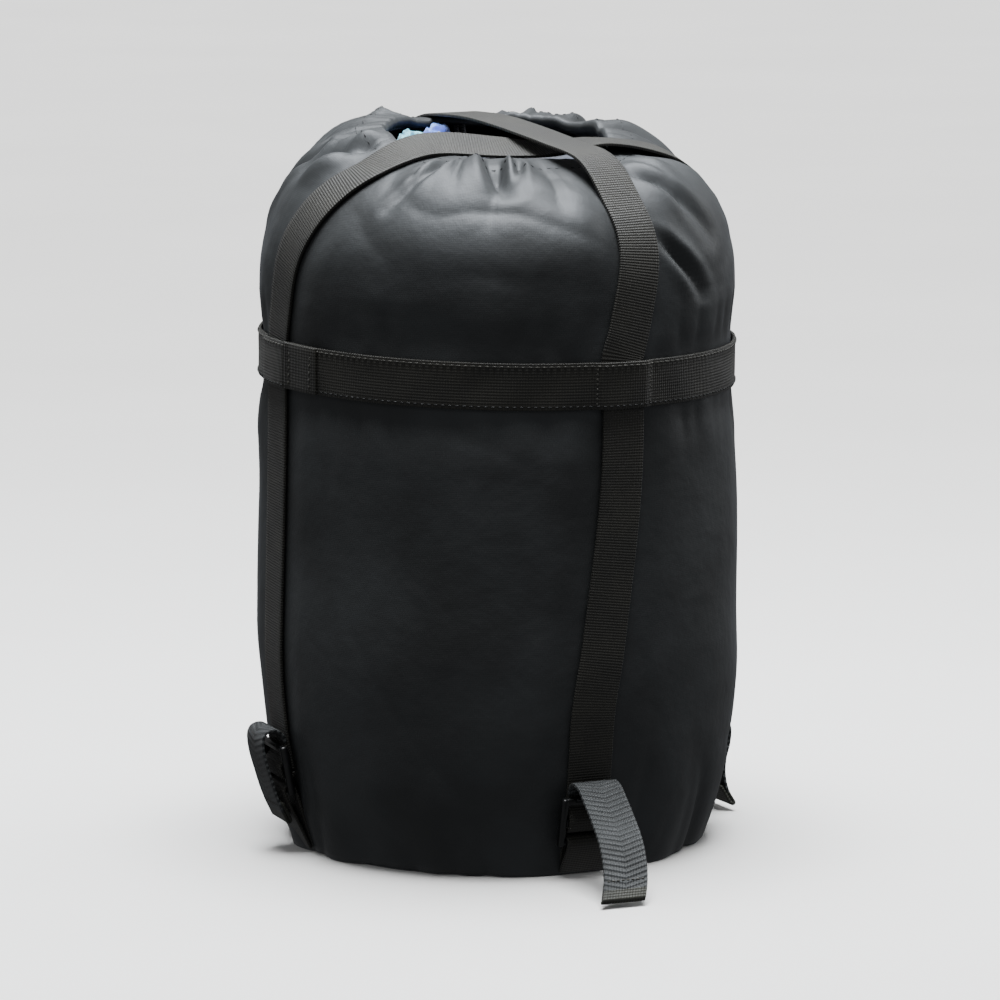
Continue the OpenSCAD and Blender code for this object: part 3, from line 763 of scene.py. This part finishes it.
def fold_height(az, q, z, near):
    """How far the cloth stands out of its plain outline, in metres."""
    a = az + 0.12 * noise_at(az, q, 9, 1.3, 3.1)
    if q > 2:
        # Gathers run down from the hem, and die out at the shoulder; slack cloth buckles between them.
        up = q - 2
        a += 0.05 * noise_at(az, up, 18, 2.0, 8.0)
        near_mouth = ease((up - 0.25) / 0.5) * mix(0.3, 1.0, ease((1.0 - up) / 0.15))
        h = (0.0006 + 0.0046 * near_mouth) * ease(up / 0.3) * valley(noise_at(a, up, 17, 0.35, 11.0), 4.0)
        h += 0.0030 * ease((up - 0.5) / 0.35) * valley(noise_at(a, up, 40, 0.6, 5.0), 3.4) * mix(
            0.3, 1.0, ease((1.0 - up) / 0.15))
        h += 0.0042 * ease(up / 0.3) * noise_at(az, up, 10, 1.4, 21.0)
        slack = noise_at(az + up * 0.5, up * 3.0, 15, 1.0, 27.0)
        h += 0.0012 * ease(up / 0.2) * ease((1.0 - up) / 0.25) * valley(slack, 3.4)
        h += crease_depth(math.degrees(az), up)
        # The hem is doubled round its cord, so its folds stay shallow.
        h = max(h, mix(-0.0016, -0.0100, ease((0.93 - up) / 0.16)))
    else:
        h = 0.0024 * noise_at(az, z * 11, 7, 1.0, 1.0) + 0.0009 * noise_at(az, z * 26, 15, 1.0, 2.0)
        h -= 0.0004 * max(0.0, 1 - abs(noise_at(az + z * 3.2, z * 5, 7, 1.0, 31.0)) * 22)
        # Short puckers where the cloth goes into the base seam.
        low = ease((0.085 - z) / 0.07)
        h += 0.0040 * low * valley(noise_at(a, z * 6, 24, 1.0, 7.0), 3.2)
    gap_ring = abs(z - RING_Z) - STRAP_W / 2
    if gap_ring < 0.04:
        h += 0.0020 * ease((0.04 - gap_ring) / 0.035) * valley(noise_at(a, z * 3, 34, 1.0, 17.0), 3.2)
    h *= ease((gap_ring + 0.002) / 0.012)
    beside = ease((near - 0.012) / 0.022)
    return h * mix(0.12, 1.0, beside) + 0.0026 * beside * ease(gap_ring / 0.03)


def cloth_profile():
    """Rows of the outline, from the base seam up to the rim."""
    rows = [q_at(z) for z in np.linspace(0.0012, BELLY_Z, 34)]
    rows += [mix(1, 2, t) for t in np.linspace(0, 1, 52)[1:]]
    rows += [mix(2, 3, t) for t in np.linspace(0, 1, 46)[1:]]
    return rows


def build_cloth():
    bm = bmesh.new()
    tag = bm.verts.layers.float.new("q")
    rows = cloth_profile()
    line = []
    for q in rows:
        p = skin(q, 0)
        v = bm.verts.new((0, -p.x, p.y))
        v[tag] = q
        line.append(v)
    # The hem: over the rim, down its inside and back out under itself.
    rim = outline(3)
    for i, a in enumerate((30, 75, 120, 165)):
        turn = math.radians(a)
        v = bm.verts.new((0, -(rim.x - HEM_ROLL * math.sin(turn)),
                          rim.y - HEM_ROLL + HEM_ROLL * math.cos(turn)))
        v[tag] = 3.0 + 0.05 * (i + 1)
        line.append(v)
    for i, back in enumerate((0.004, 0.009, 0.014)):
        v = bm.verts.new((0, -(rim.x + back), rim.y - 0.0046 - back * 0.25))
        v[tag] = 3.3 + 0.1 * i
        line.append(v)
    spun(bm, line, CLOTH_STEPS)
    face_outward(bm)
    arc = [0.0]
    for a, b in zip(rows, rows[1:]):
        arc.append(arc[-1] + (outline(b) - outline(a)).length)
    mapped_round(bm, lambda az, v: (
        az * BELLY_R, float(np.interp(v[tag], rows, arc)) + max(0.0, v[tag] - 3) * 0.02))
    lines = strap_lines()
    tree = KDTree(len(lines))
    for i, p in enumerate(lines):
        tree.insert(p, i)
    tree.balance()
    depth = bpy.context.scene.sack_sizes.fold_depth
    for v in bm.verts:
        q = v[tag]
        az = math.atan2(v.co.x, -v.co.y)
        body_q = min(q, 3.0)
        p = on_body(math.degrees(az), body_q, 0)
        near = tree.find(p)[2]
        h = depth * fold_height(az, body_q, p.z, near)
        out = out_of_body(math.degrees(az), min(body_q, 2.93))
        if q <= 3:
            v.co = p + out * h
            if q > 2.8:
                v.co.z += RIM_WAVE * ease((q - 2.8) / 0.2) * noise_at(az, 0, 26, 1, 41.0)
        else:
            v.co = lean(v.co.copy()) + out * h * mix(1.0, 0.0, min(1.0, (q - 3) / 0.5))
            v.co.z += RIM_WAVE * noise_at(az, 0, 26, 1, 41.0)
    cloth = piece("sack_cloth", bm, "taffeta", None, ("lower_wall", "upper_wall", "hem_casing"))
    solid = cloth.modifiers.new("Thickness", "SOLIDIFY")
    solid.thickness = CLOTH_T
    solid.offset = -1
    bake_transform(cloth)


def build_base():
    """The round base panel and the tape that binds its seam."""
    bm = bmesh.new()
    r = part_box("base_panel")[1].x
    bmesh.ops.create_circle(bm, cap_ends=True, segments=128, radius=r)
    for share in (0.06, 0.06, 0.12, 0.2, 0.2):
        inner = max(bm.faces, key=lambda f: f.calc_area())
        bmesh.ops.inset_individual(bm, faces=[inner], thickness=r * share)
    bmesh.ops.poke(bm, faces=[max(bm.faces, key=lambda f: len(f.verts))])
    for v in bm.verts:
        away = math.hypot(v.co.x, v.co.y) / r
        v.co.z = 0.0011 + 0.0006 * ease((1 - away) * 4) * noise.noise(v.co * 30)
    bmesh.ops.solidify(bm, geom=bm.faces[:], thickness=0.0009)
    bmesh.ops.recalc_face_normals(bm, faces=bm.faces[:])
    piece("base_cloth", bm, "taffeta", "base", ("base_panel",))
    low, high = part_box("base_seam_tape")
    bm = bmesh.new()
    bmesh.ops.create_circle(bm, cap_ends=False, segments=160, radius=high.x)
    grown = bmesh.ops.extrude_edge_only(bm, edges=bm.edges[:])
    top = [v for v in grown["geom"] if isinstance(v, bmesh.types.BMVert)]
    bmesh.ops.translate(bm, verts=bm.verts[:], vec=(0, 0, low.z))
    bmesh.ops.translate(bm, verts=top, vec=(0, 0, high.z - low.z))
    bmesh.ops.recalc_face_normals(bm, faces=bm.faces[:])
    bmesh.ops.solidify(bm, geom=bm.faces[:], thickness=STRAP_T)
    bmesh.ops.recalc_face_normals(bm, faces=bm.faces[:])
    roll_edges(bm)
    piece("seam_tape", bm, "tape", "base", ("base_seam_tape",))


# ---- What is packed inside ----

def crumpled(name, node, key, seed):
    """A folded end of clothing in the mouth, as big as its solid in the frame."""
    low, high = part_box(node)
    centre, size = (low + high) / 2, (high - low) / 2
    bm = bmesh.new()
    bmesh.ops.create_icosphere(bm, subdivisions=4, radius=1.0)
    for v in bm.verts:
        n = v.co.normalized()
        boxy = Vector([math.copysign(abs(c) ** 0.75, c) for c in n])
        folds = abs(noise.noise(Vector((n.x * 1.6 + n.z * 2.2 + seed, n.y * 0.8, seed)))) * 1.5
        rough = noise.noise(n * 3.5 + Vector((seed, seed, 0)))
        k = 0.99 - 0.45 * max(0.0, 0.4 - folds) + 0.13 * rough + 0.05 * noise.noise(n * 9)
        v.co = centre + Vector((boxy.x * size.x, boxy.y * size.y, boxy.z * size.z + 0.0015)) * k
    piece(name, bm, key, "crown", (node,))


def build_contents():
    crumpled("towel_corner", "packed_towel", "towel", 2.0)
    crumpled("shirt_sleeve", "packed_shirt", "shirt", 7.0)
    crumpled("tape_bundle", "packed_tape", "grey_tape", 12.0)
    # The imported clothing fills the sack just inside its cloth, and shows in the mouth in folds.
    bm = bmesh.new()
    profile = [(0.0, 0.004), (0.05, 0.004), (0.095, 0.004)]
    profile += [tuple(skin(q, -PACKED_INSET)) for q in
                (0.12, 0.25, 0.45, 0.7, 1, 1.3, 1.6, 1.9, 2.1, 2.25, 2.4, 2.55)]
    profile += [(0.078, RIM_Z - 0.016), (0.069, RIM_Z - 0.015)]
    profile += [(0.062 - 0.004 * i, FILL_Z - 0.001 * (i < 2)) for i in range(15)] + [(0.0, FILL_Z)]
    line = [bm.verts.new((0, -r, z)) for r, z in profile]
    spun(bm, line, PACKED_STEPS)
    bmesh.ops.remove_doubles(bm, verts=bm.verts[:], dist=1e-6)
    bmesh.ops.recalc_face_normals(bm, faces=bm.faces[:])
    for v in bm.verts:
        r = math.hypot(v.co.x, v.co.y)
        if v.co.z > RIM_Z - 0.03 and r < 0.074:
            w = ease((0.074 - r) / 0.02)
            p = Vector((v.co.x * 26, v.co.y * 42 + v.co.x * 20, 3.3))
            swirl = Vector((noise.noise(p * 0.7), noise.noise(p * 0.7 + Vector((9, 9, 9))), 0)) * 1.1
            fold = abs(noise.noise(p + swirl)) * 2
            slid = min(LOCK_TRAVEL, max(0.0, v.co.y - LOCK_AT[1]))
            near_lock = math.hypot(v.co.x - LOCK_AT[0], v.co.y - LOCK_AT[1] - slid)
            # The folds lie low along the way that the cord lock slides.
            keep = ease((near_lock - 0.010) / 0.012)
            v.co.z += w * (0.0005 + 0.0100 * min(1.0, fold) * keep * ease((0.078 - r) / 0.03)
                           - 0.0012 * (1 - keep))
    obj = piece("packed_clothes", bm, "clothes", None, ("bundle_lower", "bundle_upper"))
    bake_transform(obj)


# ---- Cord and cord lock ----

def build_drawcord():
    for name, s in (("left", -1), ("right", 1)):
        points = smooth_rows(cord_rows(s), 5)
        bm, total = tube("drawcord_" + name, points, CORD_D / 2)
        cord = piece("drawcord_" + name, bm, "cord", "crown", ("drawcord_end_" + name,))
    loop = []
    rise = Matrix.Translation((0, 0, RIM_Z)) @ Matrix.Rotation(math.atan(LEAN_X), 4, "Y") @ Matrix.Rotation(
        math.atan(LEAN_Y), 4, "X") @ Matrix.Translation((0, 0, -RIM_Z))
    for i in range(97):
        a = CORD_EXIT_AZ + mix(6, 354, i / 96)
        loop.append(rise @ polar(HEM_MID.x, a, HEM_MID.y))
    bm = tube("drawcord_in_hem", loop, CORD_D / 2)[0]
    piece("drawcord_in_hem", bm, "cord", "crown", ("drawcord_loop",))
    # Both ends run into one overhand knot.
    centre = Vector((LOCK_AT[0], KNOT_Y, CORD_Z))
    knot = []
    for i in range(61):
        t = 2 * math.pi * i / 60
        knot.append(centre + Vector((math.sin(t) + 2 * math.sin(2 * t), math.cos(t) - 2 * math.cos(2 * t),
                                     -math.sin(3 * t))) * 0.00105)
    bm = tube("drawcord_knot_turns", knot, CORD_D / 2 * 0.82)[0]
    piece("drawcord_knot_turns", bm, "cord", "crown", ("drawcord_knot",))


def build_cord_lock():
    for name, key in (("cord_lock_barrel", "acetal"), ("cord_lock_button", "acetal"),
                      ("cord_lock_spring", "spring")):
        paint(name, key)
        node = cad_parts[name]
        weld = node.modifiers.new("Weld", "WELD")
        weld.merge_threshold = WELD
        if key == "acetal":
            bevel = node.modifiers.new("Moulded edges", "BEVEL")
            bevel.width = MOULDED_EDGE
            bevel.segments = 3
            bevel.limit_method = "ANGLE"
            bevel.angle_limit = math.radians(50)
            bevel.harden_normals = False
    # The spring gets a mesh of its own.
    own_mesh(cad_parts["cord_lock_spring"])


# ---- Webbing ----

def build_ring_band():
    bm = bmesh.new()
    inner = ring_inner()
    rows = 8
    line = [bm.verts.new((0, -inner, -STRAP_W / 2 + STRAP_W * i / rows)) for i in range(rows + 1)]
    spun(bm, line, BAND_STEPS)
    face_outward(bm)
    mapped_round(bm, lambda az, v: (v.co.z, az * inner))
    for v in bm.verts:
        az = math.degrees(math.atan2(v.co.x, -v.co.y))
        v.co = ring_point(az, v.co.z, STRAP_T)
    bmesh.ops.solidify(bm, geom=bm.faces[:], thickness=STRAP_T)
    roll_edges(bm)
    piece("ring_webbing", bm, "webbing", "crown", ("ring_band",))
    # Where the band's two ends overlap, and are sewn down.
    rows = []
    for i in range(15):
        az = mix(-59, -47, i / 14)
        p = ring_point(az, 0, STRAP_T + 0.0009)
        rows.append((p, Vector((0, 0, -1)), polar(1, az, 0)))
    lap = ribbon(rows, thick=0.0014, across=10)
    piece("ring_webbing_lap", lap, "webbing", "crown", ())


def ring_inner():
    return outline(q_at(RING_Z - STRAP_W / 2)).x + 3 * GAP


def ring_point(az, z, off):
    """A point on the ring band, which swells out over each strap and tilts a little to one side."""
    r = ring_inner() + off
    bump = 0.0
    for c in RING_AZ:
        d = abs((az - c + 180) % 360 - 180)
        bump = max(bump, 1 - ease((d * math.radians(1) * r - 0.0128) / 0.006))
    r += bump * (STRAP_T + 2 * GAP)
    a = math.radians(az)
    wave = 0.0005 * noise.noise(Vector((math.cos(a) * 6, math.sin(a) * 6, z * 60)))
    p = polar(r + wave, az, z)
    return Matrix.Translation((0, 0, RING_Z)) @ (Matrix.Rotation(RING_TILT, 4, "Y") @ p)


def build_over_straps():
    for name, pairs in (("front_to_back", front_to_back_rows()), ("left_to_right", left_to_right_rows())):
        rows = side_rows(smooth_rows_pairs(pairs, 10))
        piece("strap_over_" + name, ribbon(rows), "webbing", "crown", ("strap_" + name,))


def build_runs():
    for k, end in enumerate(ENDS):
        rows = side_rows(smooth_rows_pairs(run_rows(k), 3))
        run = piece("load_side_" + end, ribbon(rows), "webbing", None, ("strap_run_" + end,))
        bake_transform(run)
        turn = ribbon(flat_rows(k, wrap_path()))
        piece("turn_" + end, turn, "webbing", "lock_" + end, ("strap_wrap_" + end,))


def build_free_ends():
    for k, end in enumerate(ENDS):
        arch = [Vector((FREE_N, EXIT_S + GAP))] + turned(ARCH_C, ARCH_R, 180, 91.5, 12)
        rows = flat_rows(k, arch)
        points = smooth_rows(tail_points(k), 8)
        across = lock_axes(k)[1]
        for i, p in enumerate(points):
            up = across.cross(heading(points, i)) * -1
            rows.append((p, across, up.normalized()))
        # The tip is turned under and sewn, and its fold shows the webbing's unworn olive.
        hem_from = sum((b[0] - a[0]).length for a, b in zip(rows, rows[1:])) - TIP_HEM
        last, side, up = rows[-1]
        along = (rows[-1][0] - rows[-2][0]).normalized()
        for i in range(1, 7):
            a = math.pi * i / 6
            turn = up * math.cos(a) + along * math.sin(a)
            rows.append((last - up * 0.00095 + turn * 0.00095, side, turn))
        for back in (0.003, 0.006, 0.009, 0.0115):
            rows.append((last - up * 0.0019 - along * back, side, -up))
        bm = ribbon(rows)
        uv = bm.loops.layers.uv.active
        for f in bm.faces:
            f.material_index = int(min(loop[uv].uv.y for loop in f.loops) > hem_from)
        solids = ("strap_arch_" + end, "strap_tail_" + end)
        # The free ends are painted greyer than the rest of the webbing, a painted highlight for where they
        # lie flat to the light.
        tail = piece("free_end_" + end, bm, "free_end", None, solids)
        tail.data.materials.append(finish_of("fold"))
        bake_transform(tail)


def build_tabs():
    for k, end in enumerate(ENDS):
        reach = ANCHOR_BAR_D / 2 + GAP + STRAP_T / 2
        foot, across, _, z = lock_axes(k)
        bar = foot + BAR_N * z
        radial = polar(1, LOCK_AZ[k], 0)
        flat = Vector((bar.dot(radial), bar.z))
        seam = Vector((skin(0.0022 / BELLY_Z, 0).x + GAP + STRAP_T, 0.0022))
        down = (seam - flat).normalized()
        sideways = Vector((-down.y, down.x))
        path = [seam + sideways * (STRAP_T / 2 + 0.0001), flat + sideways * reach + down * 0.004]
        start = math.degrees(math.atan2(sideways.y, sideways.x))
        arcs = [turned(flat, reach, start, start + half_turn, 14) for half_turn in (180, -180)]
        path += max(arcs, key=lambda arc: arc[7].dot(-down))
        path += [flat - sideways * reach + down * 0.004, seam - sideways * (STRAP_T / 2 + 0.0001)]
        rows = []
        for i, p in enumerate(path):
            d = heading(path, i)
            up2 = Vector((-d.y, d.x))
            if i == 0:
                sign = 1 if up2.dot(p - flat - (p - flat).dot(down) * down) > 0 else -1
            up = radial * up2.x * sign + Vector((0, 0, up2.y * sign))
            rows.append((radial * p.x + Vector((0, 0, p.y)), across, up))
        piece("tab_" + end, ribbon(rows), "webbing", "base", ("anchor_tab_" + end,))


def build_locks():
    """A moulded frame of two rails, an anchor bar, a gripping middle bar and a lipped top bar."""
    for k, end in enumerate(ENDS):
        bm = bmesh.new()
        inner = STRAP_W + 0.001
        for s in (-1, 1):
            x = s * (inner + RAIL_W) / 2
            size = (RAIL_W, TOP_BAR_S + BAR_T + 0.001, BAR_T + 0.001)
            box_bm(bm, (x, TOP_BAR_S / 2, BAR_N), size, 0.0014, 4)
        turn = Matrix.Rotation(math.pi / 2, 4, "Y")
        bmesh.ops.create_cone(
            bm, cap_ends=True, segments=28, radius1=ANCHOR_BAR_D / 2, radius2=ANCHOR_BAR_D / 2,
            depth=inner + RAIL_W, matrix=Matrix.Translation((0, 0, BAR_N)) @ turn)
        box_bm(bm, (0, BAR_PITCH, BAR_N), (inner + RAIL_W, BAR_W, BAR_T), 0.0006)
        box_bm(bm, (0, TOP_BAR_S, BAR_N), (inner + RAIL_W, BAR_W, BAR_T), 0.0008)
        # Small teeth along the middle bar, and a thumb lip on the top bar.
        for i in range(9):
            box_bm(bm, (mix(-0.0105, 0.0105, i / 8), BAR_PITCH, BAR_N + BAR_T / 2),
                   (0.0009, BAR_W * 0.7, 0.0004), 0.00018, 2)
        box_bm(bm, (0, TOP_BAR_S + 0.0012, BAR_N + 0.0018), (0.019, 0.0034, 0.0014), 0.0006,
               turn=Matrix.Rotation(math.radians(38), 4, "X"))
        bmesh.ops.transform(bm, matrix=lock_matrix(k), verts=bm.verts[:])
        solid = ("ladder_lock_" + end,)
        lock = piece("ladder_lock_moulded_" + end, bm, "acetal", "lock_" + end, solid)
        smooth_by_angle(lock)


def smooth_by_angle(obj):
    """Keeps hard edges hard, on a moulded piece."""
    mesh = obj.data
    bm = bmesh.new()
    bm.from_mesh(mesh)
    for e in bm.edges:
        e.smooth = len(e.link_faces) == 2 and e.calc_face_angle() < MOULDED_ANGLE
    bm.to_mesh(mesh)
    bm.free()


# ---- Stitching ----

ROW_Z = STRAP_W / 2 - 0.0018


def across_band(name, az, off, **sizes):
    """A row of stitches up the ring band."""
    points = [ring_point(az, mix(-ROW_Z, ROW_Z, i / 12), STRAP_T + off) for i in range(13)]
    stitches(name, points, [polar(1, az, 0)] * 13, "crown", **sizes)


def build_stitching():
    round_sack = [mix(-180, 180, i / 240) for i in range(241)]
    for name, z, key in (("upper", ROW_Z, "thread"), ("lower", -ROW_Z, "dark_thread")):
        points = [ring_point(az, z, STRAP_T + 0.00025) for az in round_sack]
        stitches("ring_stitches_" + name, points, [polar(1, az, 0) for az in round_sack], "crown", key)
    for az in (-57.5, -49):
        across_band("lap_stitches_%d" % round(-az), az, 0.0018)
    for k, end in enumerate(ENDS):
        for s, side in ((-1, "a"), (1, "b")):
            across_band("bartack_%s_%s" % (end, side), RING_AZ[k] + s * 7.2, 0.0002, length=0.0016,
                        gap=0.0010)
    for k, end in enumerate(ENDS):
        points = smooth_rows(tail_points(k), 8)
        across = lock_axes(k)[1]
        i = len(points) - 1
        run = 0.0
        while run < 0.0105:
            run += (points[i] - points[i - 1]).length
            i -= 1
        t = (points[i + 1] - points[i - 1]).normalized()
        up = across.cross(t) * -1
        base = points[i] + up * (STRAP_T / 2 + 0.0001)
        row = [base + across * mix(-0.0115, 0.0115, j / 10) for j in range(11)]
        stitches("hem_stitches_" + end, row, [up] * 11, "tail_" + end, length=0.002, gap=0.0008)
    # The hem is sewn below the drawcord: a dark row round the mouth, lying on the cloth as it is.
    mesh = bpy.data.objects["sack_cloth"].data
    row = min(cloth_profile(), key=lambda r: abs(r - q_in(MOUTH_R + HEM_W - 0.001)))
    picked = [v for v, tag in zip(mesh.vertices, mesh.attributes["q"].data) if abs(tag.value - row) < 1e-4]
    picked.sort(key=lambda v: math.atan2(v.co.x, -v.co.y))
    points = [v.co + v.normal * 0.0001 for v in picked]
    stitches("mouth_hem_stitches", points, [v.normal.copy() for v in picked], "crown", "dark_thread",
             length=0.0024, gap=0.0024, size=0.00032)


# ---- Stage ----

FLOOR_SIZE = 25.0
CAMERA_AT = (0, -2.995, 0.687)
CAMERA_DOWN = 9.496
LENS = 198.4
SENSOR = 36
SHIFT_X = 0.003
ROOM = (0.97, 0.98, 1.0, 1)
ROOM_LIGHT = 0.2
CEILING_LIGHT = 5.5
CEILING_WIDTH = math.radians(35)
AIM = Vector((0, 0, 0.25))


def build_stage():
    scene = bpy.context.scene
    bm = bmesh.new()
    bmesh.ops.create_grid(bm, x_segments=2, y_segments=2, size=FLOOR_SIZE)
    floor = piece("floor", bm, "floor")
    # The paper doesn't light the sack from below, which keeps the dark cloth dark.
    floor.visible_diffuse = False
    floor.visible_glossy = False
    camera = bpy.data.objects.new("camera", bpy.data.cameras.new("camera"))
    scene.collection.objects.link(camera)
    camera.data.lens = LENS
    camera.data.sensor_width = SENSOR
    camera.data.shift_x = SHIFT_X
    camera.data.clip_start = 0.1
    camera.data.clip_end = 50
    pitch = Matrix.Rotation(math.radians(90 - CAMERA_DOWN), 4, "X")
    camera.matrix_world = Matrix.Translation(CAMERA_AT) @ pitch
    scene.camera = camera
    world = bpy.data.worlds.new("studio")
    scene.world = world
    world.use_nodes = True
    background = world.node_tree.nodes["Background"]
    background.inputs["Color"].default_value = ROOM
    background.inputs["Strength"].default_value = ROOM_LIGHT
    for name, place, size, power, tint in (
        ("top_softbox", (0.0, 0.12, 1.25), (0.8, 0.7), 24, (0.92, 0.96, 1.0)),
        ("front_softbox", (-0.6, -2.4, 1.9), (0.8, 0.7), 5, (1, 1, 1)),
        ("right_softbox", (1.6, 0.9, 1.0), (0.5, 1.2), 7, (1, 1, 1)),
    ):
        light = bpy.data.objects.new(name, bpy.data.lights.new(name, "AREA"))
        light.data.shape = "RECTANGLE"
        light.data.size, light.data.size_y = size
        light.data.energy = power
        light.data.color = tint
        aim = AIM - Vector(place)
        light.matrix_world = Matrix.Translation(place) @ aim.to_track_quat("-Z", "Y").to_matrix().to_4x4()
        scene.collection.objects.link(light)
    sky = bpy.data.objects.new("ceiling", bpy.data.lights.new("ceiling", "SUN"))
    sky.data.energy = CEILING_LIGHT
    sky.data.angle = CEILING_WIDTH
    scene.collection.objects.link(sky)


# ---- The add-on ----

class SackFinishes(bpy.types.PropertyGroup):
    """Colours of the finishes."""
    cloth_colour: bpy.props.FloatVectorProperty(
        name="Cloth", description="Colour of the sack's cloth in its folds", subtype="COLOR", size=3,
        min=0, max=1, default=linear("#292a2a")[:3])
    cloth_light: bpy.props.FloatVectorProperty(
        name="Cloth, raised", description="Colour of the cloth where it is rubbed", subtype="COLOR", size=3,
        min=0, max=1, default=linear("#363839")[:3])
    weave_pitch: bpy.props.FloatProperty(
        name="Weave", description="Distance between the cloth's drawn threads", default=0.001, min=0.0003,
        max=0.003, subtype="DISTANCE", unit="LENGTH")
    rib_pitch: bpy.props.FloatProperty(
        name="Ribs", description="Distance between the webbing's ribs", default=0.0015, min=0.0008, max=0.005,
        subtype="DISTANCE", unit="LENGTH")


class SackSizes(bpy.types.PropertyGroup):
    """Sizes of the cloth's folds and of the stitching."""
    fold_depth: bpy.props.FloatProperty(
        name="Fold depth", description="How deep the folds in the cloth are, as a share of the usual",
        default=1.0, min=0.2, max=2.0, subtype="FACTOR")
    stitch_length: bpy.props.FloatProperty(
        name="Stitch", description="Length of one stitch in the webbing", default=0.0024, min=0.001,
        max=0.004, subtype="DISTANCE", unit="LENGTH")


class Build:
    """What every operator does: it runs its builders."""

    def execute(self, context):
        for build in self.builders:
            build()
        return {"FINISHED"}


class SACK_OT_stage(Build, bpy.types.Operator):
    """Makes the pale floor, the soft lights and the camera"""
    bl_idname = "sack.stage"
    bl_label = "Stage"
    builders = (build_stage,)


class SACK_OT_drawcord(Build, bpy.types.Operator):
    """Makes the drawcord: its loop in the hem, its two free ends and their knot"""
    bl_idname = "sack.drawcord"
    bl_label = "Drawcord"
    builders = (build_drawcord,)


class SACK_OT_cord_lock(Build, bpy.types.Operator):
    """Finishes the cord lock's barrel, button and spring"""
    bl_idname = "sack.cord_lock"
    bl_label = "Cord lock"
    builders = (build_cord_lock,)


class SACK_OT_cloth(Build, bpy.types.Operator):
    """Makes the gathered cloth body with its hem"""
    bl_idname = "sack.cloth"
    bl_label = "Cloth body"
    builders = (build_cloth,)


class SACK_OT_base(Build, bpy.types.Operator):
    """Makes the base panel and its seam tape"""
    bl_idname = "sack.base"
    bl_label = "Base"
    builders = (build_base,)


class SACK_OT_contents(Build, bpy.types.Operator):
    """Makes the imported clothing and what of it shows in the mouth"""
    bl_idname = "sack.contents"
    bl_label = "Contents"
    builders = (build_contents,)


class SACK_OT_ring_band(Build, bpy.types.Operator):
    """Makes the webbing band round the sack"""
    bl_idname = "sack.ring_band"
    bl_label = "Ring band"
    builders = (build_ring_band,)


class SACK_OT_straps(Build, bpy.types.Operator):
    """Makes the straps over the mouth, their load sides and their turns in the locks"""
    bl_idname = "sack.straps"
    bl_label = "Straps"
    builders = (build_over_straps, build_runs)


class SACK_OT_free_ends(Build, bpy.types.Operator):
    """Makes the straps' free ends, with their hems"""
    bl_idname = "sack.free_ends"
    bl_label = "Free ends"
    builders = (build_free_ends,)


class SACK_OT_tabs(Build, bpy.types.Operator):
    """Makes the webbing loops that hold the ladder locks"""
    bl_idname = "sack.tabs"
    bl_label = "Anchor tabs"
    builders = (build_tabs,)


class SACK_OT_ladder_locks(Build, bpy.types.Operator):
    """Makes the four ladder locks"""
    bl_idname = "sack.ladder_locks"
    bl_label = "Ladder locks"
    builders = (build_locks,)


class SACK_OT_stitching(Build, bpy.types.Operator):
    """Sews the ring band, the free ends and the mouth's hem"""
    bl_idname = "sack.stitching"
    bl_label = "Stitching"
    builders = (build_stitching,)


class SACK_PT_panel(bpy.types.Panel):
    """Lists the sack's sizes, finishes and pieces"""
    bl_idname = "SACK_PT_panel"
    bl_label = "Compression sack"
    bl_space_type = "VIEW_3D"
    bl_region_type = "UI"
    bl_category = "Sack"

    def draw(self, context):
        for group in (context.scene.sack_finishes, context.scene.sack_sizes):
            box = self.layout.box()
            for name in group.__annotations__:
                box.prop(group, name)
        for operator in OPERATORS:
            self.layout.operator(operator.bl_idname)


# The camera and the cords come first.
OPERATORS = (SACK_OT_stage, SACK_OT_drawcord, SACK_OT_cord_lock, SACK_OT_cloth, SACK_OT_base,
             SACK_OT_contents, SACK_OT_ring_band, SACK_OT_straps, SACK_OT_free_ends, SACK_OT_tabs,
             SACK_OT_ladder_locks, SACK_OT_stitching)
CLASSES = (SackFinishes, SackSizes) + OPERATORS + (SACK_PT_panel,)


def register():
    for each in CLASSES:
        bpy.utils.register_class(each)
    bpy.types.Scene.sack_finishes = bpy.props.PointerProperty(type=SackFinishes)
    bpy.types.Scene.sack_sizes = bpy.props.PointerProperty(type=SackSizes)


def unregister():
    del bpy.types.Scene.sack_finishes
    del bpy.types.Scene.sack_sizes
    for each in reversed(CLASSES):
        bpy.utils.unregister_class(each)


def main():
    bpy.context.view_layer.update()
    register()
    for operator in OPERATORS:
        group, name = operator.bl_idname.split(".")
        getattr(getattr(bpy.ops, group), name)()


if __name__ == "__main__":
    main()
